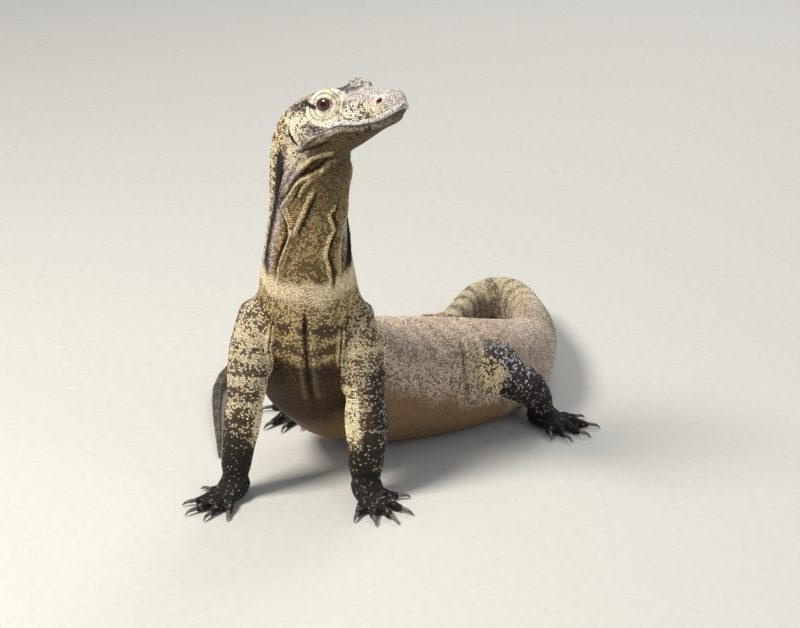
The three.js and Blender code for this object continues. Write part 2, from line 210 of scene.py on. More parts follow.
# One round at a share of a half spreads a point over an eighth of the squared grain
rounds = int(LONGEST_REACH ** 2 / 2 / (SKIN_GRAIN ** 2 / 8))
share = HALF * (reach_of_length[owner] / LONGEST_REACH) ** 2
share = relaxed(share[:, None], skin_edges, HALF, SHARE_ROUNDS)[:, 0]
skin_places = relaxed(skin_places, skin_edges, share, rounds)
set_places(skin, skin_places)
_, height = nearest_length(skin_places)
height = relaxed(height[:, None], skin_edges, HALF, HEIGHT_ROUNDS)
skin_places = skin_places - outward(skin) * (height + SCALE_DEPTH)
set_places(skin, skin_places)

# ---------------------------------------------------------------------------------------------
# The lie of the body. Scales and markings follow middle lines: one from snout to tail tip, one
# down each limb. They run through the middles of the cuts between the solid lengths.
# ---------------------------------------------------------------------------------------------
LINE_STEP = 1.0 * MM
TRUNK = ["head", "lower_jaw", "neck_upper", "neck_lower", "chest", "belly", "pelvis",
         "tail_1", "tail_2", "tail_3", "tail_4", "tail_5", "tail_6"]


def unit(vector):
    vector = np.asarray(vector, float)
    return vector / np.linalg.norm(vector, axis=-1, keepdims=True)


def cut_middle(name, *others):
    """The middle of the cut face where one length meets others."""
    tree, _ = tree_of(others)
    cut_width = 0.8 * MM
    corners = np.unique(places_of(nodes[name].data).round(6), axis=0)
    return np.mean([c for c in corners if tree.find_nearest(c, cut_width)[0] is not None], axis=0)


def curve(knots, steps=24):
    """A smooth run through the knots, whatever they hold in their columns."""
    knots = np.asarray(knots, float)
    knots = np.vstack([2 * knots[0] - knots[1], knots, 2 * knots[-1] - knots[-2]])
    t = np.linspace(0, 1, steps, endpoint=False)[:, None]
    spans = []
    for a, b, c, d in zip(knots, knots[1:], knots[2:], knots[3:]):
        spans.append(b + 0.5 * t * (c - a + t * (2 * a - 5 * b + 4 * c - d + t * (3 * (b - c) + d - a))))
    return np.vstack(spans + [knots[-2:-1]])


class Line:
    """A middle line in even steps, with its heading, its back and a count of the lengths passed."""

    def __init__(self, points, backs, marks):
        fine = curve(np.column_stack([points, backs, np.arange(len(marks))]))
        fine[:, 6] = np.interp(fine[:, 6], np.arange(len(marks)), marks)
        way = np.append(0, np.cumsum(np.linalg.norm(np.diff(fine[:, :3], axis=0), axis=1)))
        self.way = np.arange(0, way[-1], LINE_STEP)
        even = np.column_stack([np.interp(self.way, way, column) for column in fine.T])
        self.at = even[:, :3]
        self.mark = even[:, 6]
        self.heading = unit(np.gradient(self.at, axis=0))
        back = even[:, 3:6]
        self.back = unit(back - self.heading * np.sum(back * self.heading, axis=1, keepdims=True))
        self.left = np.cross(self.heading, self.back)

    def locate(self, places):
        """For each place its way along, its mark, and its turn from the belly side (0) by the left
        (a quarter turn) to the back (a half turn)."""
        nearest = np.empty(len(places), int)
        block = 20000
        for start in range(0, len(places), block):
            some = places[start:start + block]
            near = (self.at ** 2).sum(axis=1) - 2 * some @ self.at.T
            nearest[start:start + block] = near.argmin(axis=1)
        off = places - self.at[nearest]
        along = np.sum(off * self.heading[nearest], axis=1)
        way = self.way[nearest] + along
        turn = np.arctan2(
            np.sum(off * self.left[nearest], axis=1), -np.sum(off * self.back[nearest], axis=1)
        )
        return way, np.interp(way, self.way, self.mark), turn


# The head's own frame: x to the snout, y to the animal's left, z up, from the middle between the
# ears on the mouth line, in millimetres
HEAD_PITCH = np.radians(22)
EYE = np.array([27.5, 12.4, 14.6])
eye_middle = {name: sum(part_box(name), Vector()) / 2 for name in eye_names}
head_left = unit(eye_middle["eye_l"] - eye_middle["eye_r"])
level_ahead = np.cross(head_left, (0, 0, 1))
head_ahead = level_ahead * np.cos(HEAD_PITCH) + np.array([0, 0, np.sin(HEAD_PITCH)])
head_up = np.cross(head_ahead, head_left)
head_axes = np.stack([head_ahead, head_left, head_up], axis=1)
between_eyes = np.array((eye_middle["eye_l"] + eye_middle["eye_r"]) / 2)
head_origin = between_eyes - head_ahead * (EYE[0] * MM) - head_up * (EYE[2] * MM)


def to_head(places):
    return (places - head_origin) @ head_axes / MM


def from_head(places):
    return head_origin + np.asarray(places, float) * MM @ head_axes.T


skin_tree = BVHTree.FromPolygons(skin_places.tolist(), triangles_of(skin.data).tolist())
# Longer than any way from a middle line out to the skin
RAY_LENGTH = 0.09


def ring_round(centre, side, back, count=12):
    """Where rays from a middle line meet the skin all the way round, starting at the belly."""
    turns = np.arange(count) * 2 * pi / count
    rays = [side * np.sin(turn) - back * np.cos(turn) for turn in turns]
    hits = [skin_tree.ray_cast(centre, ray, RAY_LENGTH)[0] for ray in rays]
    return [np.array(hit) for hit in hits if hit]


def tail_middles(start, heading):
    """Steps down the tail, each set to the middle of the ring of skin round it."""
    step = 8 * MM
    up = np.array([0, 0, 1.0])
    middles = [start]
    tip = max(places_of(nodes["tail_6"].data), key=lambda p: np.linalg.norm(p - tail_6_cut))
    while np.linalg.norm(middles[-1] - tip) > 1.5 * step:
        guess = middles[-1] + heading * step
        side = unit(np.cross(heading, up))
        back = np.cross(side, heading)
        middles.append(np.mean(ring_round(guess, side, back), axis=0))
        heading = unit(middles[-1] - middles[-2])
    return middles[1:] + [tip]


tail_6_cut = cut_middle("tail_6", "tail_5")
cuts = [cut_middle("neck_upper", "head", "lower_jaw")]
cuts += [cut_middle(name, before) for before, name in zip(TRUNK[2:], TRUNK[3:])]
tail_root = cuts[5]
tail_points = tail_middles(tail_root, unit(tail_root - cuts[4]))
head_points = from_head([[78.4, 0, 2.5], [60, 0, 2.5], [38, 0, 3], [16, 0, 2]])
body_points = [*head_points, *cuts[:6], *tail_points]
tail_way = np.cumsum([np.linalg.norm(b - a) for a, b in zip([tail_root] + tail_points, tail_points)])
body_marks = [0, 0.25, 0.5, 0.8, 1, 2, 3, 4, 5, 6, *(6 + 6 * tail_way / tail_way[-1])]
upright = (0, 0, 1)
body_backs = [*[head_up] * 5, (-0.5, 0.78, 0.2), (0, 1, 0.3), (0.1, 0.5, 0.85)]
body_backs += [upright] * (len(body_points) - len(body_backs))
body_line = Line(body_points, body_backs, body_marks)

LIMB_PARTS = {"arm": ("upper_arm", "forearm", "hand"), "leg": ("thigh", "shin", "foot")}
PALM_HEIGHT = 5 * MM


def limb_parts(name):
    kind, side = name.split("_")
    return [f"{part}_{side}" for part in LIMB_PARTS[kind]]


def limb_line(name):
    """A line from the body down a limb to the middle of its palm or sole."""
    upper, lower, end = limb_parts(name)
    root, middle, wrist = cut_middle(upper, *TRUNK[2:]), cut_middle(lower, upper), cut_middle(end, lower)
    claws = [cut_middle(f"{end}_claw_{i}", end) for i in range(1, 6)]
    palm = wrist * 0.4 + np.mean(claws, axis=0) * 0.6
    palm[2] = PALM_HEIGHT
    back = (0, 1, 0) if name.startswith("arm") else upright
    return Line([root, middle, wrist, palm], [back] * 4, [0, 1, 2, 3])


limbs = {name: limb_line(name) for name in ("arm_r", "leg_r", "arm_l", "leg_l")}

# ---------------------------------------------------------------------------------------------
# Folds of the hide. Where the skin is loose it gathers: the brow, lids, lips and ear stand out on
# the skull, pleats run down the throat, a furrow parts the breast, and the elbows crease.
# ---------------------------------------------------------------------------------------------
SKIN_TRIANGLES = 190000
HEAD_PARTS = ("head", "lower_jaw", "eye")


def smooth_step(values, low, high):
    t = np.clip((values - low) / (high - low), 0, 1)
    return t * t * (3 - 2 * t)


def bump(values, middle, width):
    """1 where the values are at the middle, falling smoothly to nothing within about two widths."""
    return np.exp(-((values - middle) / width) ** 2)


def refine(piece, chosen):
    """Halves the grain of the faces whose corners are all chosen."""
    mesh = piece.data
    corners = np.empty(len(mesh.loops), int)
    mesh.loops.foreach_get("vertex_index", corners)
    starts = np.empty(len(mesh.polygons), int)
    mesh.polygons.foreach_get("loop_start", starts)
    selected = np.logical_and.reduceat(chosen[corners], starts)
    make_active(piece)
    bpy.context.tool_settings.mesh_select_mode = (False, False, True)
    bpy.ops.object.mode_set(mode="EDIT")
    bpy.ops.mesh.select_all(action="DESELECT")
    bpy.ops.object.mode_set(mode="OBJECT")
    mesh.polygons.foreach_set("select", selected)
    bpy.ops.object.mode_set(mode="EDIT")
    bpy.ops.mesh.subdivide(number_cuts=1)
    bpy.ops.object.mode_set(mode="OBJECT")


# Mouth line, from its corner below the eye to the tip of the snout: forward, up
MOUTH = curve([(12, -1.4), (27, -0.6), (36, 0.1), (50, -2.7), (64, -3.0), (75.5, -0.6), (78.5, 2.0)])
# The left eye, nostril and ear slit: their axes and middles, and half their openings each way
EYE_AXIS = unit((0.34, 0.93, -0.04))
EYE_OPENING = (5.0, 3.8)
EYE_REACH = 14
LID_RINGS = (1.72, 2.28)
NOSTRIL = np.array([68.0, 7.5, 8.0])
NOSTRIL_OPENING = (2.3, 1.25)
EAR = np.array([0.9, 21.6, 0.8])
EAR_OPENING = (1.6, 5.4)
EAR_SLOPE = unit((0.35, 0, -0.94))
# Openings counted for places that are nowhere near one
FAR = 9


def face_places(places):
    """Places in the head's frame with both sides folded onto the left."""
    local = to_head(places)
    return np.column_stack([local[:, 0], np.abs(local[:, 1]), local[:, 2]])


def over_mouth(local):
    """How far above the mouth line each place is."""
    return local[:, 2] - np.interp(local[:, 0], *MOUTH.T)


def from_eye(local):
    """How far each place is from the eye's middle: along the lids, up, outwards and in all."""
    off = local - EYE
    along = unit(np.array([1.0, 0, 0]) - EYE_AXIS * EYE_AXIS[0])
    return off @ along, off @ np.cross(along, EYE_AXIS), off @ EYE_AXIS, np.linalg.norm(off, axis=1)


def round_eye(local):
    """Distance from the eye's middle, and how many openings away from its axis."""
    wide, high, out, distance = from_eye(local)
    angle = np.arctan2(np.hypot(wide, high), out)
    lid_radius = 5.8
    arc = lid_radius * angle / np.maximum(np.hypot(wide, high), 1e-6)
    openings = np.hypot(wide / EYE_OPENING[0], high / EYE_OPENING[1]) * arc
    return distance, np.where(distance < EYE_REACH, openings, FAR)


def lid_furrows(local):
    """How deep in a furrow of the lids each place is: two rings round the eye's opening."""
    wide, high, out, distance = from_eye(local)
    openings = np.hypot(wide / EYE_OPENING[0], high / EYE_OPENING[1])
    rings = sum(bump(openings, ring, 0.14) for ring in LID_RINGS)
    return rings * (out > -1) * (distance < EYE_REACH)


def round_nostril(local):
    """Openings away from the nostril's middle."""
    off = local - NOSTRIL
    long_axis = unit((1, 0, 0.05))
    across = unit((-0.05, 0, 1))
    openings = np.hypot(off @ long_axis / NOSTRIL_OPENING[0], off @ across / NOSTRIL_OPENING[1])
    return np.where(np.abs(off[:, 1]) < 5, openings, FAR)


def round_ear(local):
    """Openings away from the ear slit's middle, and how far in front of it and below it."""
    off = local - EAR
    ahead = off @ unit((0.94, 0, 0.35))
    down = off @ EAR_SLOPE
    openings = np.hypot(ahead / EAR_OPENING[0], down / EAR_OPENING[1])
    return np.where(np.abs(off[:, 1]) < 6, openings, FAR), ahead, down


def near(local, spot, size):
    """1 at a spot, falling smoothly to nothing within about two sizes."""
    return np.exp(-np.sum((local - np.array(spot)) ** 2, axis=1) / size ** 2)


def near_features(places, margin):
    """Whether each place is within a margin of the eye, nostril, ear slit or mouth line."""
    local = face_places(places)
    beside_mouth = (np.abs(over_mouth(local)) < 0.55 * margin) & (local[:, 0] > MOUTH[0, 0])
    close = np.linalg.norm(local - EYE, axis=1) < EYE_OPENING[0] + margin
    close |= np.linalg.norm(local - NOSTRIL, axis=1) < margin
    openings, ahead, down = round_ear(local)
    close |= (np.abs(ahead) < margin) & (np.abs(down) < EAR_OPENING[1] + margin) & (openings < FAR)
    return close | beside_mouth


def of_head(places):
    owner, _ = nearest_length(places)
    return of_parts(owner, HEAD_PARTS)


# The head gets a finer grain, and its features one that is finer still
HEAD_ROUNDS = 3
FEATURE_MARGIN = 4.0
for choose in (of_head, lambda places: near_features(places, FEATURE_MARGIN)):
    refine(skin, choose(skin_places))
    skin_places = places_of(skin.data)
    in_head = of_head(skin_places)
    skin_places = relaxed(skin_places, edges_of(skin), HALF * in_head, HEAD_ROUNDS)
    set_places(skin, skin_places)

skin_normals = outward(skin)
local = face_places(skin_places)
ahead, aside, above = local.T

# Brows, crown, muzzle and temples
rise = 0.9 * near(local, (29, 12.5, 20.5), 6.5)
rise -= 1.3 * bump(aside, 0, 4.5) * smooth_step(above, 8, 14) * near(local, (30, 0, 18), 15)
rise -= 0.9 * near(local, (47, 11.5, 9), 5)
rise += 0.9 * near(local, (9, 20, 5), 7) + 0.6 * near(local, (23, 18, 4), 5)
rise += 0.8 * near(local, (69, 7, 8), 3.4) - 0.5 * near(local, (61, 9, 6), 3)
rise -= 0.6 * near(local, (15, 16.5, 13), 4)
rise += 1.3 * near(local, (40.5, 9.5, 14.5), 4) + 1.3 * near(local, (73, 5, 10), 6)

# The head is a little tilted, so its left brow stands higher
leftward = smooth_step(to_head(skin_places)[:, 1], 0, 4)
rise -= (1 - leftward) * near(local, (29, 12.5, 21), 6)
rise += (1 - leftward) * 0.7 * near(local, (20, 13.5, 18.5), 3.5)
rise += leftward * (1.1 * near(local, (31, 12.5, 21), 4.5) - 1.5 * near(local, (22.5, 12, 20.5), 4.5))
rise += leftward * (1.9 * near(local, (37, 10.5, 19), 5.5) + 1.7 * near(local, (45, 9, 16), 5.5))
rise += leftward * 1.5 * near(local, (53, 7.5, 13), 6)

# Nostrils: an oval hole with a swollen rim
openings = round_nostril(local)
rise -= 2.6 * (1 - smooth_step(openings, 0.45, 1.1))
rise += 0.5 * bump(openings, 1.5, 0.4)

# Ear slits: open at the back of the temple, with a raised front rim
openings, before, down = round_ear(local)
beside = np.exp(-(down / EAR_OPENING[1]) ** 4) * (openings < FAR)
rise -= 3.0 * (1 - smooth_step(openings, 0.4, 1.15))
rise += beside * (1.1 * bump(before, 2.2, 1) + 0.5 * bump(before, -2.1, 1))

# Lips: a shut line under a full upper lip
over = over_mouth(local)
lip = smooth_step(ahead, 13, 20) * in_head
rise -= 1.0 * lip * bump(over, 0, 0.45)
rise += 0.45 * lip * bump(over, 1.7, 1.2) * smooth_step(ahead, 26, 40)
rise -= 0.45 * lip * bump(over, -1.2, 0.9)
rise += 0.3 * lip * bump(over, -3.2, 1.2)
skin_places = skin_places + skin_normals * rise[:, None] * MM
chin = 3.0 * smooth_step(ahead, 67, 77) * smooth_step(-over, 0.2, 1.6) * in_head
skin_places = skin_places - head_ahead * chin[:, None] * MM

# Lids: a shell round each eyeball, open in front, with two furrows about the opening
EYE_BALL = 5.2
LID = 6.15
LID_FURROW = 0.45
sides = np.where(to_head(skin_places)[:, 1] < 0, -1.0, 1.0)
local = face_places(skin_places)
distance, openings = round_eye(local)
shell = np.interp(openings, [0, 0.86, 1.0, 1.1, 1.25, 1.5], [3.6, 3.7, 5.35, 6.05, LID, LID])
hold = 1 - smooth_step(openings, 1.6, 2.5)
moved = EYE + (local - EYE) * (shell / distance)[:, None]
loose = np.interp(openings, [1.15, 1.6], [13, 8.5])
hold = (hold * (1 - smooth_step(distance, loose, loose + 3)))[:, None]
local = local + (moved - local) * hold
local[:, 1] *= sides
skin_places = np.where(hold > 0, from_head(local), skin_places)
set_places(skin, skin_places)
skin_normals = relaxed(outward(skin), edges_of(skin), HALF, 2)
furrow = LID_FURROW * lid_furrows(face_places(skin_places))
skin_places = skin_places - skin_normals * furrow[:, None] * MM
set_places(skin, skin_places)
skin_normals = relaxed(outward(skin), edges_of(skin), HALF, 2)
fold_tree = BVHTree.FromPolygons(skin_places.tolist(), triangles_of(skin.data).tolist())


def on_skin(line, mark, turn):
    """The spot on the skin at a mark along a line and a turn from its belly side, in degrees."""
    step = np.interp(mark, line.mark, np.arange(len(line.mark)))
    low = min(int(step), len(line.mark) - 2)
    part = step - low
    centre = line.at[low] * (1 - part) + line.at[low + 1] * part
    left = line.left[low] * (1 - part) + line.left[low + 1] * part
    back = line.back[low] * (1 - part) + line.back[low + 1] * part
    angle = np.radians(turn)
    return fold_tree.ray_cast(centre, left * np.sin(angle) - back * np.cos(angle), RAY_LENGTH)[0]


def on_face(spot):
    return fold_tree.find_nearest(from_head(spot))[0]


def beside_path(places, normals, path, margin=8 * MM):
    """Which places lie near a path over the skin, how far to its right, and how near its ends."""
    lowest, highest = path.min(axis=0) - margin, path.max(axis=0) + margin
    some = np.flatnonzero(np.all((places > lowest) & (places < highest), axis=1))
    gaps = ((places[some, None] - path[None]) ** 2).sum(axis=2)
    step = gaps.argmin(axis=1)
    keep = gaps.min(axis=1) < margin ** 2
    some, step = some[keep], step[keep]
    off = places[some] - path[step]
    normal = normals[some]
    off = off - normal * np.sum(off * normal, axis=1, keepdims=True)
    heading = unit(np.gradient(path, axis=0))[step]
    right = np.sum(off * np.cross(heading, normal), axis=1)
    gap = np.copysign(np.linalg.norm(off, axis=1), right) / MM
    end = np.minimum(step, len(path) - 1 - step) / len(path)
    return some, gap, smooth_step(end, 0, 0.16)


FOLD_STEP = 0.25 * MM
folds = []


def fold_height(places, normals, path, profile):
    some, gap, fade = beside_path(places, normals, path)
    rise = sum(height * bump(gap, right, width) for height, width, right in profile)
    return some, rise * fade


def fold(spots, *profile):
    """Raises the skin along a path: each part of the profile is a height, a width and how far to
    the right of the path it runs, in millimetres; a height below nothing is a furrow."""
    path = curve([spot for spot in spots if spot])
    way = np.append(0, np.cumsum(np.linalg.norm(np.diff(path, axis=0), axis=1)))
    even = np.arange(0, way[-1], FOLD_STEP)
    path = np.column_stack([np.interp(even, way, column) for column in path.T])
    some, rise = fold_height(skin_places, skin_normals, path, profile)
    skin_places[some] += skin_normals[some] * rise[:, None] * MM
    folds.append((path, profile))


def body_fold(spots, *profile):
    fold([on_skin(body_line, mark, turn) for mark, turn in spots], *profile)


def face_fold(spots, *profile):
    for side in (1, -1):
        mirrored = [(h, w, r * side) for h, w, r in profile]
        fold([on_face((x, y * side, z)) for x, y, z in spots], *mirrored)


# The face: a crease before the eye, the fold round its socket, the notch behind it and a short one
# under the brow, then the cheek's ridge over a hollow, the muzzle's edge and the jaw's crease
face_fold([(31.9, 14.3, 14.5), (34.3, 12.9, 13.1), (37.7, 12.6, 13.2), (41, 12, 13.6)], (-0.8, 0.55, 0))
face_fold([(41, 10.8, 18), (41.4, 11.8, 15), (41.7, 12.8, 11.5), (39.8, 13.6, 9), (37.3, 14.7, 7.9),
           (34.6, 15.5, 6.7), (29.5, 16.8, 6.1), (25, 18.2, 7.2), (20.3, 18.5, 10.5)],
          (-0.4, 0.55, 0), (0.2, 0.8, 1.4), (0.2, 0.8, -1.4))
face_fold([(21.5, 16, 14.4), (19.6, 16.5, 14.5), (16.9, 16, 16.1), (12.4, 14.5, 18.4), (7.8, 12.4, 20)],
          (-1.1, 0.8, 0), (0.4, 0.9, 1.7), (0.4, 0.9, -1.7))
face_fold([(37.5, 10.5, 19.5), (37.5, 12.6, 16), (36.5, 13.4, 13.8)], (-0.35, 0.5, 0))
face_fold([(2.5, 21.4, -5.5), (9, 21.3, -3.2), (16, 20.4, -1.8), (23, 19, -0.8), (29, 17.5, -0.8)],
          (1.1, 1.1, 0), (-0.9, 1.1, -2.3))
face_fold([(41, 11, 14.5), (48, 9.6, 13), (57, 8.4, 11.5), (65, 7, 11)], (0.5, 1.6, 0))
face_fold([(-3, 20.5, -8), (6, 20.5, -8.5), (16, 18.5, -8), (28, 15.5, -7)], (-1.2, 1.0, 0), (0.9, 1.1, 2.2))

# Pleats of the throat and neck, on the animal's right and left
body_fold([(1.30, 20), (1.35, -12), (1.55, -27), (1.70, -42), (1.85, -51), (2.0, -55), (2.18, -57),
           (2.29, -59), (2.37, -49), (2.5, -37), (2.62, -33), (2.84, -38), (2.94, -38), (3.1, -36)],
          (3.2, 1.2, 0), (-2.0, 1.4, 2.7))
body_fold([(1.55, -27), (1.64, -34), (1.81, -40), (1.93, -43), (2.15, -42)], (1.9, 0.9, 0), (-1.3, 1.1, 2))
upper_pleat = [on_face(spot) for spot in ((24, -9, -12.5), (16, -13, -13.5), (7, -16, -14))]
fold(upper_pleat + [on_skin(body_line, 1.52, -53), on_skin(body_line, 1.72, -61)],
     (2.0, 1.1, 0), (-1.4, 1.3, -2.4))
body_fold([(1.84, -25), (1.97, -28), (2.19, -28), (2.34, -27), (2.46, -28), (2.6, -30)],
          (2.3, 0.9, 0), (-1.6, 1.2, -2.2))
body_fold([(2.0, 6), (2.15, 13), (2.27, 14), (2.34, 10), (2.44, 19), (2.53, 27), (2.61, 24), (2.76, 23),
           (2.88, 30), (2.99, 32), (3.1, 29)], (2.1, 1.0, 0), (-1.9, 1.3, -2.6))
body_fold([(1.35, 30), (1.6, 42), (1.9, 52), (2.2, 56), (2.45, 50), (2.7, 44), (2.95, 47), (3.1, 46)],
          (1.9, 1.2, 0), (-1.4, 1.4, -2.6))
body_fold([(1.5, 72), (1.75, 84), (2.1, 88), (2.5, 84), (2.85, 78), (3.1, 66)],
          (1.2, 1.4, 0), (-1.2, 1.4, 2.6))
body_fold([(1.6, -76), (1.8, -84), (2.1, -83), (2.5, -82), (2.8, -74), (3.1, -62)],
          (1.0, 1.4, -2.2), (-1.2, 1.6, 0))
body_fold([(1.25, -60), (1.6, -66), (2.0, -70), (2.4, -66)], (-0.7, 1.0, 0), (0.5, 1.3, 2))

# The furrow of the breast, the pits of the arms and the wide crease before the folded left thigh
body_fold([(3.14, 1), (3.3, 3), (3.5, 7), (3.7, 11), (3.9, 14)],
          (-2.6, 1.1, 0), (0.9, 3.0, 3.8), (0.9, 3.0, -3.8))
for turn_in, turn_out in ((-34, -26), (43, 39)):
    pit = [(3.32, turn_in), (3.42, turn_in * 0.97), (3.53, turn_in * 0.91), (3.64, turn_out)]
    body_fold(pit, (2.0, 1.0, -1.3), (2.0, 1.0, 1.3), (-2.0, 0.8, 0))
body_fold([(4.81, 149), (4.77, 132), (4.75, 119), (4.73, 109), (4.73, 100), (4.74, 91), (4.76, 80),
           (4.80, 69)],
          (-0.95, 2.1, 0), (0.6, 2.2, 4.2), (0.6, 2.2, -4.2))

# Elbows and wrists crease on the inner side, ankles and knees in front
for name, line in limbs.items():
    depth = 0.5 if name.startswith("arm") else 0.35
    for mark in (0.84, 0.93, 1.02, 1.11, 1.2, 1.95, 2.05):
        slope = 0.05 if mark < 1.5 else 0
        spots = [(mark + slope * np.sin(np.radians(turn)), turn) for turn in range(-70, 71, 20)]
        hits = [on_skin(line, *spot) for spot in spots]
        fold(hits, (-depth, 0.7, 0), (0.6 * depth, 0.9, 1.6), (0.6 * depth, 0.9, -1.6))

# Ribs show faintly on the flanks
RIBS = 9
_, mark, turn = body_line.locate(skin_places)
flank = smooth_step(mark, 3.9, 4.2) * (1 - smooth_step(mark, 5.2, 5.6)) * np.abs(np.sin(turn)) ** 2
owner, _ = nearest_length(skin_places)
flank = flank * of_parts(owner, ("chest", "belly", "pelvis"))
skin_places = skin_places + outward(skin) * (0.3 * flank * np.sin(mark * 2 * pi * RIBS))[:, None] * MM
set_places(skin, skin_places)

# The trunk and tail need fewer faces than the head, neck and hands
fine_parts = ("head", "lower_jaw", "eye", "neck", "hand", "foot")
coarse = np.flatnonzero(~of_parts(owner, fine_parts))
group = skin.vertex_groups.new(name="trunk")
group.add(coarse.tolist(), 1.0, "REPLACE")
change_mesh(skin, bpy.ops.mesh.quads_convert_to_tris, quad_method="SHORTEST_DIAGONAL", ngon_method="BEAUTY")
finish_modifier(skin, "DECIMATE", ratio=SKIN_TRIANGLES / len(skin.data.polygons), vertex_group="trunk",
                vertex_group_factor=1.0)
skin.vertex_groups.clear()

# ---------------------------------------------------------------------------------------------
# Markings. A young animal is cream and tan, speckled scale by scale with dark brown and black,
# with bands over the breast, black forearms and feet, a grey neck and an orange-brown belly.
# Painted highlight and painted shade go into the same colours: on fold ridges, in creases, furrows
# and a hollow, round each scale's rim, and under the chest, belly and jaw.
# ---------------------------------------------------------------------------------------------
DICE = np.random.default_rng(7)
LATTICE = 32
cloud = DICE.uniform(-1, 1, (LATTICE, LATTICE, LATTICE))


def mottle(places, grain):
    """Smooth patches between -1 and 1, about one grain in millimetres across."""
    spot = places / (grain * MM) + 1000
    cell = np.floor(spot).astype(int)
    part = spot - cell
    part = part * part * (3 - 2 * part)
    total = 0
    for corner in np.ndindex(2, 2, 2):
        weight = np.prod(np.where(corner, part, 1 - part), axis=1)
        total = total + weight * cloud[tuple(((cell + corner) % LATTICE).T)]
    return total


def window(values, low, high, soft):
    """1 between low and high, falling to nothing over a soft edge on both sides."""
    return smooth_step(values, low - soft, low + soft) * (1 - smooth_step(values, high - soft, high + soft))


def near_segment(places, start, end, size):
    """1 along a straight run from start to end, falling to nothing a little beyond the size."""
    start, end = np.array(start, float), np.array(end, float)
    span = end - start
    t = np.clip((places - start) @ span / (span @ span), 0, 1)
    gap = np.linalg.norm(places - start - t[:, None] * span, axis=1)
    return 1 - smooth_step(gap, 0.6 * size, 1.3 * size)


